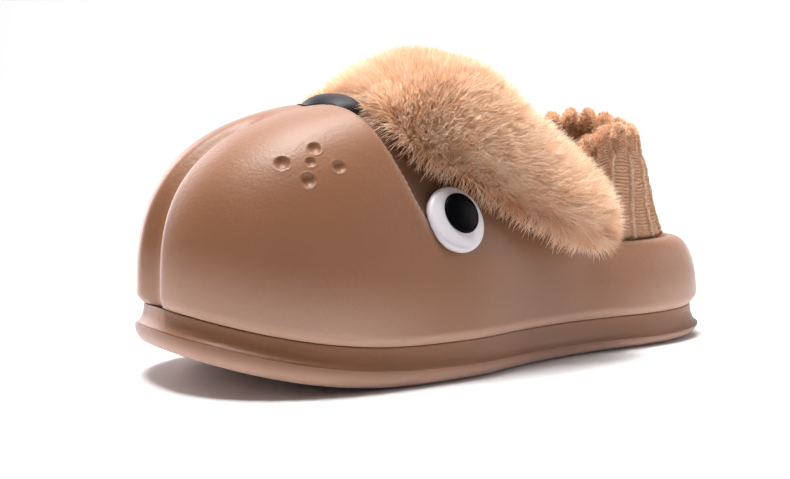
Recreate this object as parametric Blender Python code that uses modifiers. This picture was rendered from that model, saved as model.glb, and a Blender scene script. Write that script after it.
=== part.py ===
"""Dog-faced slipper, left foot: a foam shell with a big muzzle on a two-layer foam sole.

The toe points to -Y, the heel to +Y, and +X is the outer side of the foot. Lengths are in metres.
The bottom, the shell, the cuff and the fur band all take their outlines from the functions below.
"""

import math
from bisect import bisect_right

import bmesh
import bpy
import numpy as np
from mathutils import Matrix, Vector
from mathutils.bvhtree import BVHTree

# Plan of the sole
LENGTH = 0.280
BALL_WIDTH = 0.120
HEEL_WIDTH = 0.081
TOE_ROUND = 0.080
HEEL_ROUND = 0.063
END_SHAPE = 2.33

# Heights of the sole at mid length, and how much more each is at the toe
RIM_HEIGHT = 0.0066
RIM_RISE = 0.0023
NOTCH_HEIGHT = 0.0152
NOTCH_RISE = 0.0012
TOE_SPRING = 0.0143
TOE_SPRING_LENGTH = 0.095
HEEL_SPRING = 0.0021
HEEL_SPRING_LENGTH = 0.050
BOTTOM_ROUND = 0.0065
NOTCH_INSET = 0.0036
SEAM_GAP = 0.0003

# Arch on the inner side. Its middle is a share of the length from the toe
ARCH_ALONG = 0.564
ARCH_LENGTH = 0.080
ARCH_RISE = 0.0020
ARCH_SUPPORT = 0.0035

# Tread on the underside. Its rows start from the tip of the toe and from the back of the heel
GROOVE_WIDTH = 0.0035
GROOVE_DEPTH = 0.0016
GROOVE_PITCH = 0.0120
GROOVE_MARGIN = 0.0130
FOREFOOT_GROOVES = 6
FOREFOOT_START = 0.044
HEEL_GROOVES = 4
HEEL_START = 0.028

# Foam shell. The collar is measured from the back of the heel, and its slope from the collar's back
WALL = 0.0040
SHELL_INSET = 0.0008
ROLL_HEIGHT = 0.0070
RIM_TOP = 0.0475
THROAT_TOP = 0.113
COLLAR_LENGTH = 0.118
COLLAR_WIDTH = 0.060
COLLAR_BACK = 0.0155
COLLAR_SHAPE = 2.3
COLLAR_LEVEL = 0.0605
FAN = 1.7

# Lip groove down the face. It ends at a share of the length from the toe
LIP_DEPTH = 0.0036
LIP_HALF_WIDTH = 0.0042
LIP_ALONG = 0.2214
LIP_FADE = 0.018
LIP_FOOT = 0.012

# Brow step behind the muzzle, at a share of the length from the toe where it is as high as the throat
BROW_DEPTH = 0.0065
BROW_ALONG = 0.2582
BROW_SLOPE = 0.45
BROW_SOFT = 0.006
BROW_LOW = 0.044
BROW_LOW_FADE = 0.036
BROW_LENGTH = 0.113
BROW_LENGTH_FADE = 0.040

# Whisker pits on each cheek
PIT_RADIUS = 0.0046
PIT_DEPTH = 0.0021

# Footbed
INSOLE_THICKNESS = 0.0050
INSOLE_GAP = 0.0006
INSOLE_EDGE = 0.0012
HEEL_CUP = 0.0018

# Ribbed cuff. Its top leans forward of the collar's back
CUFF_THICKNESS = 0.0042
CUFF_TUCK = 0.0110
CUFF_HEIGHT = 0.0535
CUFF_RISE = 0.0045
CUFF_LEAN = 0.0250
CUFF_TOP_WIDTH = 0.060
CUFF_TOP_DEPTH = 0.031
CUFF_FRONT_DEPTH = 0.0124
CUFF_REACH = 118
CUFF_BULGE = 0.0020
CUFF_ROLL = 0.0016
CUFF_RIBS = 15
RIB_HEIGHT = 0.0013

# Plush over the instep and the ears, measured outward from a line at this height
FUR_AXIS = 0.060
FUR_GAP = 0.0014
FUR_REACH = 0.0050
PILE = 0.0185
PILE_CREST = 0.58
PILE_EDGE = 0.0030
LOCK_DRAW = 0.0022
LOCK_LIFT = 0.0028

# Eyes and nose. Each is placed at a share of the length from the toe
BED_REACH = 0.0026
BUTTON_GAP = 0.0004
BUTTON_EDGE = 0.0008
EYE_ALONG = 0.386
EYE_HEIGHT = 0.0628
EYE_RADIUS = 0.0137
EYE_THICKNESS = 0.0038
EYE_CROWN = 0.0016
EYE_TILT = 24
EYE_TURN = 7
EYE_MARGIN = 0.0065
PUPIL_RADIUS = 0.0085
PUPIL_THICKNESS = 0.0008
PUPIL_CROWN = 0.0022
PUPIL_BACK = 0.0013
PUPIL_UP = 0.0017
NOSE_ALONG = 0.292
NOSE_WIDTH = 0.0370
NOSE_DEPTH = 0.0240
NOSE_CROWN = 0.0085
NOSE_SEAT = 0.0015

# Colours, as red, green and blue, with their roughness
FOAM = ((0.36, 0.19, 0.11), 0.55)
PLUSH = ((0.60, 0.36, 0.20), 0.95)
LINING = ((0.52, 0.32, 0.19), 0.95)
RIBBED = ((0.56, 0.34, 0.20), 0.90)
WHITE = ((0.80, 0.79, 0.80), 0.35)
BLACK = ((0.012, 0.012, 0.014), 0.15)
SHINE = ((0.015, 0.014, 0.018), 0.22)

# Edges of the plan: along is a share of the length from the toe, ball and heel are shares of half
# those widths
OUTER_EDGE = [
    # along, ball, heel
    (0.00, 1.00, 0.00),
    (0.28, 1.00, 0.00),
    (0.42, 0.96, 0.00),
    (0.55, 0.79, 0.00),
    (0.66, 0.35, 0.52),
    (0.76, 0.00, 1.00),
    (1.00, 0.00, 1.00),
]
INNER_EDGE = [
    # along, ball, heel
    (0.00, 1.00, 0.00),
    (0.23, 1.00, 0.00),
    (0.37, 0.92, 0.00),
    (0.50, 0.73, 0.00),
    (0.62, 0.30, 0.54),
    (0.74, 0.00, 0.98),
    (1.00, 0.00, 1.00),
]

# How square the shell's wall stands, from the toe (0) round to the heel (1)
SHELL_SHAPE = [
    # round, exponent
    (0.00, 2.85),
    (0.10, 3.10),
    (0.18, 3.05),
    (0.40, 2.20),
    (0.70, 2.30),
    (1.00, 2.50),
]

# The plush: turn is measured from straight up, front and rear are shares of the length from the toe,
# reach is a share of half the ball's width and pile a share of the deepest pile
FUR_BAND = [
    # turn, front, rear, reach, pile
    (0, 0.340, 0.510, 0.83, 1.00),
    (25, 0.325, 0.550, 0.80, 0.90),
    (47, 0.318, 0.612, 0.71, 0.76),
    (62, 0.372, 0.648, 0.68, 0.68),
    (76, 0.458, 0.672, 0.70, 0.62),
    (90, 0.548, 0.681, 0.74, 0.57),
    (100, 0.613, 0.682, 0.75, 0.50),
    (106, 0.655, 0.676, 0.75, 0.36),
]

# Whisker pits: along is a share of the length from the toe, height a share of the shell's height and
# size a share of the radius
WHISKER_PITS = [
    # along, height, size
    (0.135, 0.769, 0.90),
    (0.181, 0.817, 0.80),
    (0.206, 0.754, 0.76),
    (0.161, 0.711, 0.88),
    (0.170, 0.772, 0.62),
]

# Mesh density. Crowding is how much closer the columns stand at the toe and the heel
SIDE_COLUMNS = 30
CROWDING = 0.62
SHELL_ROWS = 10
ROLL_ROWS = (0.0, 0.1, 0.32, 0.64)
RIB_COLUMNS = 4
CUFF_ROWS = 6
FUR_COLUMNS = 44
FUR_CROWDING = 1.15
FUR_ROWS = 14
SPOKES = 16

TOE = -LENGTH / 2
HEEL = LENGTH / 2


def clamp(value, low=0.0, high=1.0):
    return min(max(value, low), high)


def ease(value):
    """A smooth step from 0 to 1."""
    t = np.clip(value, 0.0, 1.0)
    return t * t * (3 - 2 * t)


def through(rows, at):
    """A table's columns at one place, on a smooth curve through its rows."""
    keys = [row[0] for row in rows]
    last = len(rows) - 1
    i = int(clamp(bisect_right(keys, at) - 1, 0, last - 1))
    span = keys[i + 1] - keys[i]
    t = clamp((at - keys[i]) / span)

    def slope(k):
        before, after = max(k - 1, 0), min(k + 1, last)
        rise = np.subtract(rows[after][1:], rows[before][1:])
        return rise / (keys[after] - keys[before]) * span

    start, end = np.array(rows[i][1:]), np.array(rows[i + 1][1:])
    return (
        (2 * t**3 - 3 * t**2 + 1) * start
        + (t**3 - 2 * t**2 + t) * slope(i)
        + (3 * t**2 - 2 * t**3) * end
        + (t**3 - t**2) * slope(i + 1)
    )


def half_width(y, rows):
    """Half the sole's width at y, on the side that the table describes."""
    ball, heel = through(rows, y / LENGTH + 0.5)
    side = ball * BALL_WIDTH / 2 + heel * HEEL_WIDTH / 2
    toe = clamp((TOE_ROUND + TOE - y) / TOE_ROUND)
    back = clamp((y - HEEL + HEEL_ROUND) / HEEL_ROUND)
    return side * ((1 - toe**END_SHAPE) * (1 - back**END_SHAPE)) ** (1 / END_SHAPE)


def side_line(rows, sign, columns):
    """Points from the toe's tip to the heel's back along one edge, closest together at both ends."""
    fine = 1500
    ys = [TOE * math.cos(math.pi * k / fine) for k in range(fine + 1)]
    line = np.array([(sign * half_width(y, rows), y) for y in ys])
    run = np.concatenate([[0], np.cumsum(np.linalg.norm(np.diff(line, axis=0), axis=1))])
    shares = np.arange(columns + 1) / columns
    shares = shares - CROWDING * np.sin(2 * math.pi * shares) / (2 * math.pi)
    along = shares * run[-1]
    return np.column_stack([np.interp(along, run, line[:, 0]), np.interp(along, run, line[:, 1])]), shares


def plan_loop(columns):
    """The sole's rim seen from above: points, outward normals and the share round from toe to heel."""
    outer, shares = side_line(OUTER_EDGE, 1, columns)
    inner, _ = side_line(INNER_EDGE, -1, columns)
    points = np.vstack([outer, inner[-2:0:-1]])
    rounds = np.concatenate([shares, shares[-2:0:-1]])
    tangents = np.roll(points, -1, axis=0) - np.roll(points, 1, axis=0)
    normals = np.column_stack([tangents[:, 1], -tangents[:, 0]])
    normals /= np.linalg.norm(normals, axis=1)[:, None]
    return points, normals, rounds


def spring(y):
    """How far the bottom is lifted off the floor at y."""
    toe = np.clip((TOE_SPRING_LENGTH + TOE - y) / TOE_SPRING_LENGTH, 0, 1)
    heel = np.clip((y - HEEL + HEEL_SPRING_LENGTH) / HEEL_SPRING_LENGTH, 0, 1)
    return TOE_SPRING * toe**2 + HEEL_SPRING * heel**2


def rim_height(y):
    return RIM_HEIGHT - RIM_RISE * y / HEEL + spring(y)


def notch_height(y):
    return NOTCH_HEIGHT - NOTCH_RISE * y / HEEL + spring(y)


def ring(plan, inset, height):
    """One closed ring of points: the plan moved in by inset, at heights that follow y."""
    points, normals, _ = plan
    moved = points - normals * inset
    return np.column_stack([moved, height(points[:, 1])])


def collar_back():
    return HEEL - COLLAR_BACK


def collar_height(y):
    """Height of the shell's opening at y: level round the heel, then rising to the throat."""
    before = collar_back() - COLLAR_LEVEL - y
    return RIM_TOP + (THROAT_TOP - RIM_TOP) * ease(before / (COLLAR_LENGTH - COLLAR_LEVEL))


def oval(angle):
    """Shares across and along an oval opening, for angles measured from its back."""
    across = np.sign(np.sin(angle)) * np.abs(np.sin(angle)) ** (2 / COLLAR_SHAPE)
    along = np.sign(np.cos(angle)) * np.abs(np.cos(angle)) ** (2 / COLLAR_SHAPE)
    return across, along


def collar_loop(plan):
    """The edge of the opening, one point for each point of the plan."""
    points, _, rounds = plan
    across, along = oval(math.pi * (1 - rounds**FAN))
    x = np.where(points[:, 0] < 0, -1, 1) * COLLAR_WIDTH / 2 * across
    y = collar_back() - COLLAR_LENGTH / 2 * (1 - along)
    return np.column_stack([x, y, collar_height(y)])


def grid_normals(grid):
    """Outward normals of a grid whose rows are closed rings, bottom to top."""
    up = np.gradient(grid, axis=0)
    around = np.roll(grid, -1, axis=1) - np.roll(grid, 1, axis=1)
    normals = np.cross(around, up)
    return normals / np.linalg.norm(normals, axis=2)[:, :, None]


def face_relief(x, y, z):
    """How far the shell's face stands out or in: the lip groove and the step behind the muzzle."""
    lip = -LIP_DEPTH * np.exp(-((x / LIP_HALF_WIDTH) ** 2))
    lip *= ease((TOE + LIP_ALONG * LENGTH - y) / LIP_FADE) * ease((z - notch_height(y)) / LIP_FOOT)
    behind = y - TOE - BROW_ALONG * LENGTH
    brow = -BROW_DEPTH * ease((behind - BROW_SLOPE * (THROAT_TOP - z)) / BROW_SOFT + 0.5)
    brow *= ease((z - BROW_LOW) / BROW_LOW_FADE) * ease((BROW_LENGTH - behind) / BROW_LENGTH_FADE)
    return lip + brow


def shell_surface(columns, rows):
    """The shell's outer face as rows of rings, from the notch over the sole to the collar."""
    plan = plan_loop(columns)
    _, normals, rounds = plan
    foot = ring(plan, SHELL_INSET, notch_height)
    foot[:, 2] += SEAM_GAP
    top = collar_loop(plan)
    power = np.array([float(through(SHELL_SHAPE, share)[0]) for share in rounds])
    rise = top[:, 2] - foot[:, 2]

    def turn_at(height):
        return 2 / math.pi * np.arcsin((height / rise) ** (power / 2))

    rolled = turn_at(ROLL_HEIGHT)
    turns = [turn_at(ROLL_HEIGHT * share) for share in ROLL_ROWS]
    turns += [rolled + (1 - rolled) * k / rows for k in range(rows + 1)]
    grid = []
    for turn in turns:
        inward = 1 - np.cos(math.pi / 2 * turn).clip(0) ** (2 / power)
        upward = np.sin(math.pi / 2 * turn) ** (2 / power)
        points = foot + (top - foot) * np.column_stack([inward, inward, upward])
        tuck = (NOTCH_INSET - SHELL_INSET) * (1 - upward * rise / ROLL_HEIGHT).clip(0) ** 2
        points[:, :2] -= normals * tuck[:, None]
        grid.append(points)
    grid = np.array(grid)
    relief = face_relief(grid[..., 0], grid[..., 1], grid[..., 2])
    return grid + grid_normals(grid) * relief[..., None]


def mesh_from_rings(rings, ends="open"):
    """A mesh lofted through closed rings. Its ends stay open or are filled with rungs.

    Loop rungs join points on the left and right of the first point, strip rungs join a face to its back.
    """
    mesh = bmesh.new()
    count = len(rings[0])
    verts = [[mesh.verts.new(point) for point in points] for points in rings]
    for low, high in zip(verts, verts[1:]):
        for i in range(count):
            j = (i + 1) % count
            mesh.faces.new((low[i], low[j], high[j], high[i]))
    if ends == "open":
        return mesh
    shift = 0 if ends == "loop" else 1
    for end, up in ((verts[0], False), (verts[-1], True)):
        for i in range(count // 2 - shift):
            other = [(count - i - 1 - shift) % count, (count - i - shift) % count]
            rung = list(dict.fromkeys([end[i], end[i + 1], end[other[0]], end[other[1]]]))
            mesh.faces.new(rung if up else rung[::-1])
    bmesh.ops.recalc_face_normals(mesh, faces=mesh.faces)
    if mesh.calc_volume(signed=True) < 0:
        bmesh.ops.reverse_faces(mesh, faces=mesh.faces)
    return mesh


def paint(name, finish_of):
    """A plain material from one of the colours above."""
    colour, roughness = finish_of
    material = bpy.data.materials.new(name)
    material.use_nodes = True
    shader = material.node_tree.nodes["Principled BSDF"]
    shader.inputs["Base Color"].default_value = (*colour, 1.0)
    shader.inputs["Roughness"].default_value = roughness
    shader.inputs["Metallic"].default_value = 0.0
    return material


def finish(name, mesh, material, collection):
    """Turns a bmesh into a named object with its material."""
    data = bpy.data.meshes.new(name)
    mesh.normal_update()
    mesh.to_mesh(data)
    mesh.free()
    data.shade_smooth()
    data.set_sharp_from_angle(angle=math.radians(40))
    data.materials.append(material)
    item = bpy.data.objects.new(name, data)
    collection.objects.link(item)
    return item


def make_cutter(name, mesh, collection):
    """Turns a bmesh into a hidden cutter."""
    data = bpy.data.meshes.new(name)
    mesh.to_mesh(data)
    mesh.free()
    cutter = bpy.data.objects.new(name, data)
    cutter.hide_render = True
    cutter.display_type = "WIRE"
    collection.objects.link(cutter)
    return cutter


def cut(item, cutter):
    hole = item.modifiers.new("cut", "BOOLEAN")
    hole.object = cutter
    hole.operation = "DIFFERENCE"


def clear_scene():
    for item in list(bpy.data.objects):
        bpy.data.objects.remove(item, do_unlink=True)


def surface_tree(rings):
    """A search tree of a surface made of closed rings."""
    count = len(rings[0])
    points = [Vector(point) for points in rings for point in points]
    faces = []
    for row in range(len(rings) - 1):
        for i in range(count):
            j = (i + 1) % count
            faces.append((row * count + i, row * count + j, (row + 1) * count + j, (row + 1) * count + i))
    return BVHTree.FromPolygons(points, faces)


def drop(tree, point, direction):
    """Where a line that comes in from outside, against the direction, first meets the surface."""
    start = Vector(point) + Vector(direction) * LENGTH
    return tree.ray_cast(start, -Vector(direction), 2 * LENGTH)[0]


def face_axes(facing):
    """Two directions in a button's plane: across the face and up it."""
    across = Vector((0, 1, 0)) if abs(facing.y) < 0.5 else Vector((1, 0, 0))
    up = across.cross(facing).normalized()
    return facing.cross(up).normalized(), up


def bed(tree, centre, facing, point):
    """How high the surface stands under a point, and close round it, above the plane through the centre."""
    across, up = face_axes(facing)
    steps = (-BED_REACH, 0.0, BED_REACH)
    spots = [point + across * a + up * b for a in steps for b in steps]
    return max((drop(tree, spot, facing) - centre).dot(facing) for spot in spots)


def arch(y):
    """The arch's swell at y, from 0 to 1."""
    return np.clip(1 - ((y - TOE - ARCH_ALONG * LENGTH) / (ARCH_LENGTH / 2)) ** 2, 0, 1) ** 2


def make_outsole(parts, cutters, foam):
    """The lower foam layer: flat with a toe spring and an arch, and round from the floor up to its rim."""
    plan = plan_loop(SIDE_COLUMNS)
    y = plan[0][:, 1]
    rings = []
    for turn in (0.0, 0.3, 0.6, 0.85, 1.0):
        angle = math.pi / 2 * turn
        points = ring(plan, BOTTOM_ROUND * (1 - math.sin(angle)), spring)
        points[:, 2] += (rim_height(y) - spring(y) - SEAM_GAP) * (1 - math.cos(angle))
        inner_side = ease(0.5 - points[:, 0] / (HEEL_WIDTH / 2))
        points[:, 2] += ARCH_RISE * arch(y) * inner_side * math.cos(angle)
        rings.append(points)
    outsole = finish("outsole", mesh_from_rings(rings, "loop"), foam, parts)
    cut(outsole, make_cutter("tread grooves", tread_grooves(), cutters))


def tread_grooves():
    """Bars across the forefoot and the heel that follow the bottom's slope."""
    grooves = bmesh.new()
    places = [TOE + FOREFOOT_START + GROOVE_PITCH * k for k in range(FOREFOOT_GROOVES)]
    places += [HEEL - HEEL_START - GROOVE_PITCH * k for k in range(HEEL_GROOVES)]
    for y in places:
        left = -half_width(y, INNER_EDGE) + GROOVE_MARGIN
        right = half_width(y, OUTER_EDGE) - GROOVE_MARGIN
        drop_along = float(spring(y + GROOVE_WIDTH) - spring(y - GROOVE_WIDTH))
        tilt = Matrix.Rotation(math.atan2(drop_along, 2 * GROOVE_WIDTH), 4, "X")
        place = Matrix.Translation(((left + right) / 2, y, float(spring(y))))
        size = Matrix.Diagonal((right - left, GROOVE_WIDTH, 2 * GROOVE_DEPTH, 1))
        bmesh.ops.create_cube(grooves, size=1.0, matrix=place @ tilt @ size)
    return grooves


def make_midsole(parts, foam):
    """The upper foam layer: its side sweeps in from the rim to the notch under the shell."""
    plan = plan_loop(SIDE_COLUMNS)
    y = plan[0][:, 1]
    rings = []
    for share in (0.0, 0.12, 0.35, 0.65, 1.0):
        points = ring(plan, NOTCH_INSET * math.sqrt(1 - (1 - share) ** 2), rim_height)
        points[:, 2] += (notch_height(y) - rim_height(y)) * share
        rings.append(points)
    finish("midsole", mesh_from_rings(rings, "loop"), foam, parts)


def footbed_height(points):
    """The footbed's top: its thickness over the notch, cupped at the heel and raised at the arch."""
    x, y = points[:, 0], points[:, 1]
    support = ARCH_SUPPORT * arch(y) * ease((-x - HEEL_WIDTH / 8) / (HEEL_WIDTH / 4))
    cup = HEEL_CUP * ease((y - HEEL) / HEEL_ROUND + 1) * (1 - (x / (HEEL_WIDTH / 2)) ** 2).clip(0)
    return notch_height(y) + SEAM_GAP + INSOLE_THICKNESS + support - cup


def make_insole(parts, lining):
    """The footbed: a cushion inside the shell, whose rings rise up its edge and then close over its top."""
    plan = plan_loop(SIDE_COLUMNS)
    edge = NOTCH_INSET + WALL + INSOLE_GAP
    rings = []
    for inset, level, share in ((0, 0, 1), (0, 0.75, 1), (1, 1, 1), (1, 1, 0.7), (1, 1, 0.35)):
        points = ring(plan, edge + inset * INSOLE_EDGE, notch_height)
        base = points[:, 2] + SEAM_GAP
        points[:, :2] *= (share, 1 - 0.1 * (1 - share))
        points[:, 2] = base + (footbed_height(points) - base) * level
        rings.append(points)
    finish("insole", mesh_from_rings(rings, "loop"), lining, parts)


def whisker_pits(rings):
    """Balls sunk into each cheek, where the pits are pressed."""
    tree = surface_tree(rings)
    pits = bmesh.new()
    for side in (1, -1):
        for along, height, size in WHISKER_PITS:
            level = Vector((side * LENGTH, TOE + along * LENGTH, height * THROAT_TOP))
            place, normal = tree.ray_cast(level, Vector((-side, 0, 0)))[:2]
            outward = normal if normal.x * side > 0 else -normal
            centre = Matrix.Translation(place + outward * (PIT_RADIUS - PIT_DEPTH) * size)
            turn = outward.to_track_quat("Z", "Y").to_matrix().to_4x4()
            ball = {"radius": PIT_RADIUS * size, "matrix": centre @ turn}
            bmesh.ops.create_uvsphere(pits, u_segments=10, v_segments=6, **ball)
    return pits


def make_upper(parts, cutters, foam):
    """The hollow shell: a wall on the inner side of its surface, with the whisker pits pressed in."""
    rings = shell_surface(SIDE_COLUMNS, SHELL_ROWS)
    upper = finish("upper", mesh_from_rings(rings), foam, parts)
    wall = upper.modifiers.new("wall", "SOLIDIFY")
    wall.thickness = WALL
    wall.offset = -1.0
    wall.use_even_offset = True
    cut(upper, make_cutter("whisker pits", whisker_pits(rings), cutters))
    return BVHTree.FromObject(upper, bpy.context.evaluated_depsgraph_get())


def cuff_lines(shares):
    """The cuff's bottom and top lines, from its outer front end round the heel to its inner one."""
    angle = math.radians(CUFF_REACH) * (1 - 2 * shares)
    across, along = oval(angle)
    clear = CUFF_BULGE + RIB_HEIGHT + SEAM_GAP
    low = np.column_stack([
        (COLLAR_WIDTH / 2 - clear - WALL) * across,
        collar_back() - COLLAR_LENGTH / 2 + (COLLAR_LENGTH / 2 - clear) * along,
        np.full(len(shares), RIM_TOP - CUFF_TUCK),
    ])
    depth = np.where(np.cos(angle) < 0, CUFF_FRONT_DEPTH, CUFF_TOP_DEPTH)
    high = np.column_stack([
        CUFF_TOP_WIDTH / 2 * np.sin(angle),
        collar_back() - CUFF_LEAN - CUFF_TOP_DEPTH + depth * np.cos(angle),
        RIM_TOP + CUFF_HEIGHT + CUFF_RISE * np.cos(angle),
    ])
    return low, high


def cuff_face(shares, inset, ribs, roll):
    """One face of the cuff as rows from bottom to top, moved in by inset and out by its ribs and roll."""
    low, high = cuff_lines(shares)
    rows = []
    for level in np.linspace(0, 1, CUFF_ROWS + 1):
        points = low + (high - low) * level
        outward = np.cross(np.gradient(points, axis=0), (0, 0, 1))
        outward /= np.linalg.norm(outward, axis=1)[:, None]
        out = CUFF_BULGE * math.sin(math.pi * level) + roll * ease((level - 0.8) / 0.1) - inset
        rows.append(points + outward * (out + ribs)[:, None])
    return rows


def make_cuff(parts, ribbed):
    """The cuff: a gathered wall that leans over the heel, ribbed outside, with a thick rolled top."""
    shares = np.linspace(0, 1, CUFF_RIBS * RIB_COLUMNS + 1)
    ribs = RIB_HEIGHT * np.cos(math.pi * shares * CUFF_RIBS) ** 6
    outer = cuff_face(shares, 0.0, ribs, CUFF_ROLL)
    inner = cuff_face(shares, CUFF_THICKNESS, 0 * ribs, -CUFF_ROLL)
    rings = [[row[i] for row in outer + inner[::-1]] for i in range(len(shares))]
    finish("heel_cuff", mesh_from_rings(rings, "strip"), ribbed, parts)


def eye_place(tree, side):
    """The middle of an eye on the shell, and the way it faces."""
    turn, tilt = math.tan(math.radians(EYE_TURN)), math.tan(math.radians(EYE_TILT))
    level = Vector((0, TOE + EYE_ALONG * LENGTH, EYE_HEIGHT))
    return drop(tree, level, Vector((side, 0, 0))), Vector((side, turn, tilt)).normalized()


def eye_lift(point, out, eye):
    """How far the plush has to rise at a point to lie over an eye's rim."""
    centre, facing = eye
    away = Vector(point) - centre
    height = away.dot(facing)
    beyond = (away - facing * height).length - EYE_RADIUS
    need = EYE_THICKNESS + EYE_CROWN + 2 * SEAM_GAP - height
    if need <= 0 or height < -EYE_RADIUS:
        return 0.0
    return need * float(ease(1.4 - beyond / EYE_MARGIN)) / max(Vector(out).dot(facing), 0.5)


def pile_swell(share):
    """The pile's depth from the front edge (0) over its crest to the rear edge (1)."""
    if share < PILE_CREST:
        return math.sin(math.pi / 2 * share / PILE_CREST) ** 0.9
    return math.sqrt(1 - ((share - PILE_CREST) / (1 - PILE_CREST)) ** 2.2)


def fur_column(tree, eyes, turn, side):
    """The plush's underside and outer face from front to rear, at one turn round from straight up."""
    front, rear, reach, pile = through(FUR_BAND, turn)
    angle = math.radians(turn) * side
    out = np.array((math.sin(angle), 0.0, math.cos(angle)))
    under, over = [], []
    for share in np.linspace(0, 1, FUR_ROWS + 1):
        axis = np.array((0.0, TOE + (front + (rear - front) * share) * LENGTH, FUR_AXIS))
        radius = reach * BALL_WIDTH / 2
        for nearby in (-FUR_REACH, 0.0, FUR_REACH):
            hit = drop(tree, axis + np.array((0.0, nearby, 0.0)), out)
            if hit is not None:
                radius = max(radius, float(np.array(hit - Vector(axis)) @ out) + FUR_GAP)
        radius += max(eye_lift(axis + out * radius, out, eye) for eye in eyes)
        under.append(axis + out * radius)
        over.append(under[-1] + out * (PILE_EDGE + PILE * pile * pile_swell(share)))
    return np.array(under), np.array(over), out


def draw_locks(over, out, first):
    """Draws every other point of a column out and back into the tip of a lock."""
    drawn = over.copy()
    for row in range(first, FUR_ROWS, 2):
        flow = over[row + 1] - over[row]
        drawn[row] += flow / np.linalg.norm(flow) * LOCK_DRAW + out * LOCK_LIFT
    return drawn


def make_fur(parts, plush, tree):
    """The plush: a deep band over the instep whose two ends hang down the sides as ears."""
    eyes = [eye_place(tree, side) for side in (1, -1)]
    last = FUR_BAND[-1][0]
    half = FUR_COLUMNS // 2
    rings = []
    for column in range(-half, half + 1):
        turn = last * (1 - (1 - abs(column) / half) ** FUR_CROWDING)
        under, over, out = fur_column(tree, eyes, turn, 1 if column > 0 else -1)
        if abs(column) < half:
            over = draw_locks(over, out, 1 + (column + half + 1) % 2)
        rings.append(list(over) + list(under[::-1]))
    finish("fur_ears", mesh_from_rings(rings, "strip"), plush, parts)


def button(seat, centre, facing, radii, base, crown):
    """A domed button. Its back follows its seat, and its front is an oval dome that rises from the base."""
    across, up = face_axes(facing)
    front, back = [], []
    for share in (0.12, 0.55, 0.85, 1.0):
        dome = base + crown * math.sqrt(1 - share**2)
        ring_front, ring_back = [], []
        for k in range(SPOKES):
            angle = 2 * math.pi * k / SPOKES
            flat = across * (radii[0] * share * math.cos(angle)) + up * (radii[1] * share * math.sin(angle))
            low = seat(centre + flat) + BUTTON_GAP
            ring_back.append(tuple(centre + flat + facing * low))
            ring_front.append(tuple(centre + flat + facing * max(dome, low + BUTTON_EDGE)))
        front.append(ring_front)
        back.append(ring_back)
    return mesh_from_rings(back + front[::-1], "loop")


def make_eye(parts, tree, name, side, white, black):
    """A flat domed white against the side of the head, with its pupil set up and back on it."""
    centre, facing = eye_place(tree, side)
    across, up = face_axes(facing)

    def head(point):
        return bed(tree, centre, facing, point)

    def dome(point):
        away = (point - centre - facing * (point - centre).dot(facing)).length / EYE_RADIUS
        return EYE_THICKNESS + EYE_CROWN * math.sqrt(clamp(1 - away**2))

    ball = button(head, centre, facing, (EYE_RADIUS, EYE_RADIUS), EYE_THICKNESS, EYE_CROWN)
    finish("eye_white_" + name, ball, white, parts)
    middle = centre + across * math.copysign(PUPIL_BACK, across.y) + up * math.copysign(PUPIL_UP, up.z)
    base = dome(middle) + PUPIL_THICKNESS
    ball = button(dome, middle, facing, (PUPIL_RADIUS, PUPIL_RADIUS), base, PUPIL_CROWN)
    finish("pupil_" + name, ball, black, parts)


def make_nose(parts, tree, shine):
    """The oval nose, bedded in the hollow behind the muzzle."""
    up = Vector((0, 0, 1))
    centre = drop(tree, Vector((0, TOE + NOSE_ALONG * LENGTH, 0)), up) + up * NOSE_SEAT

    def head(point):
        return bed(tree, centre, up, point)

    ball = button(head, centre, up, (NOSE_DEPTH / 2, NOSE_WIDTH / 2), 0.0, NOSE_CROWN)
    finish("nose", ball, shine, parts)


def main():
    clear_scene()
    parts = bpy.data.collections.new("dog slipper")
    cutters = bpy.data.collections.new("cutters")
    bpy.context.scene.collection.children.link(parts)
    bpy.context.scene.collection.children.link(cutters)
    foam = paint("brown foam", FOAM)
    white = paint("eye white", WHITE)
    black = paint("pupil black", BLACK)
    make_outsole(parts, cutters, foam)
    make_midsole(parts, paint("brown foam band", FOAM))
    make_insole(parts, paint("footbed plush", LINING))
    tree = make_upper(parts, cutters, foam)
    make_cuff(parts, paint("ribbed plush", RIBBED))
    make_fur(parts, paint("tan plush", PLUSH), tree)
    make_eye(parts, tree, "left", 1, white, black)
    make_eye(parts, tree, "right", -1, white, black)
    make_nose(parts, tree, paint("nose black", SHINE))


main()
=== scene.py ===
"""Dog-faced slipper: foam shell and sole, plush instep and ears, and a gathered cuff round the heel."""

import math
from bisect import bisect_right

import bmesh
import bpy
import numpy as np
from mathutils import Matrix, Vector
from mathutils.bvhtree import BVHTree


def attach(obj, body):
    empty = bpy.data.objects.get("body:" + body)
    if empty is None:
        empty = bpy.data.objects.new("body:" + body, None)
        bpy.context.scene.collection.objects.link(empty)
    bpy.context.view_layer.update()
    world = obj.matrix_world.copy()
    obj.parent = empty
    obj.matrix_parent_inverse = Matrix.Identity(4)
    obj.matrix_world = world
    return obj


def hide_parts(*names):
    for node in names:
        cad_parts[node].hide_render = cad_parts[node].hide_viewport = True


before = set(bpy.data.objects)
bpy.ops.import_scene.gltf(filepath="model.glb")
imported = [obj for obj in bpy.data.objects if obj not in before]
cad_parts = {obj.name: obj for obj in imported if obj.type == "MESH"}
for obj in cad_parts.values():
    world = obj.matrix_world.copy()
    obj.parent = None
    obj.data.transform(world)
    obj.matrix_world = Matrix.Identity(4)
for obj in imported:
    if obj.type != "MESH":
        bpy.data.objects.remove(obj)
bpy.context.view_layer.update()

bl_info = {
    "name": "Dog slipper",
    "version": (1, 0, 0),
    "blender": (4, 5, 0),
    "location": "View3D > Sidebar > Slipper",
    "description": "Builds a dog-faced slipper with plush ears and a gathered cuff",
    "category": "Add Mesh",
}

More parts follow.
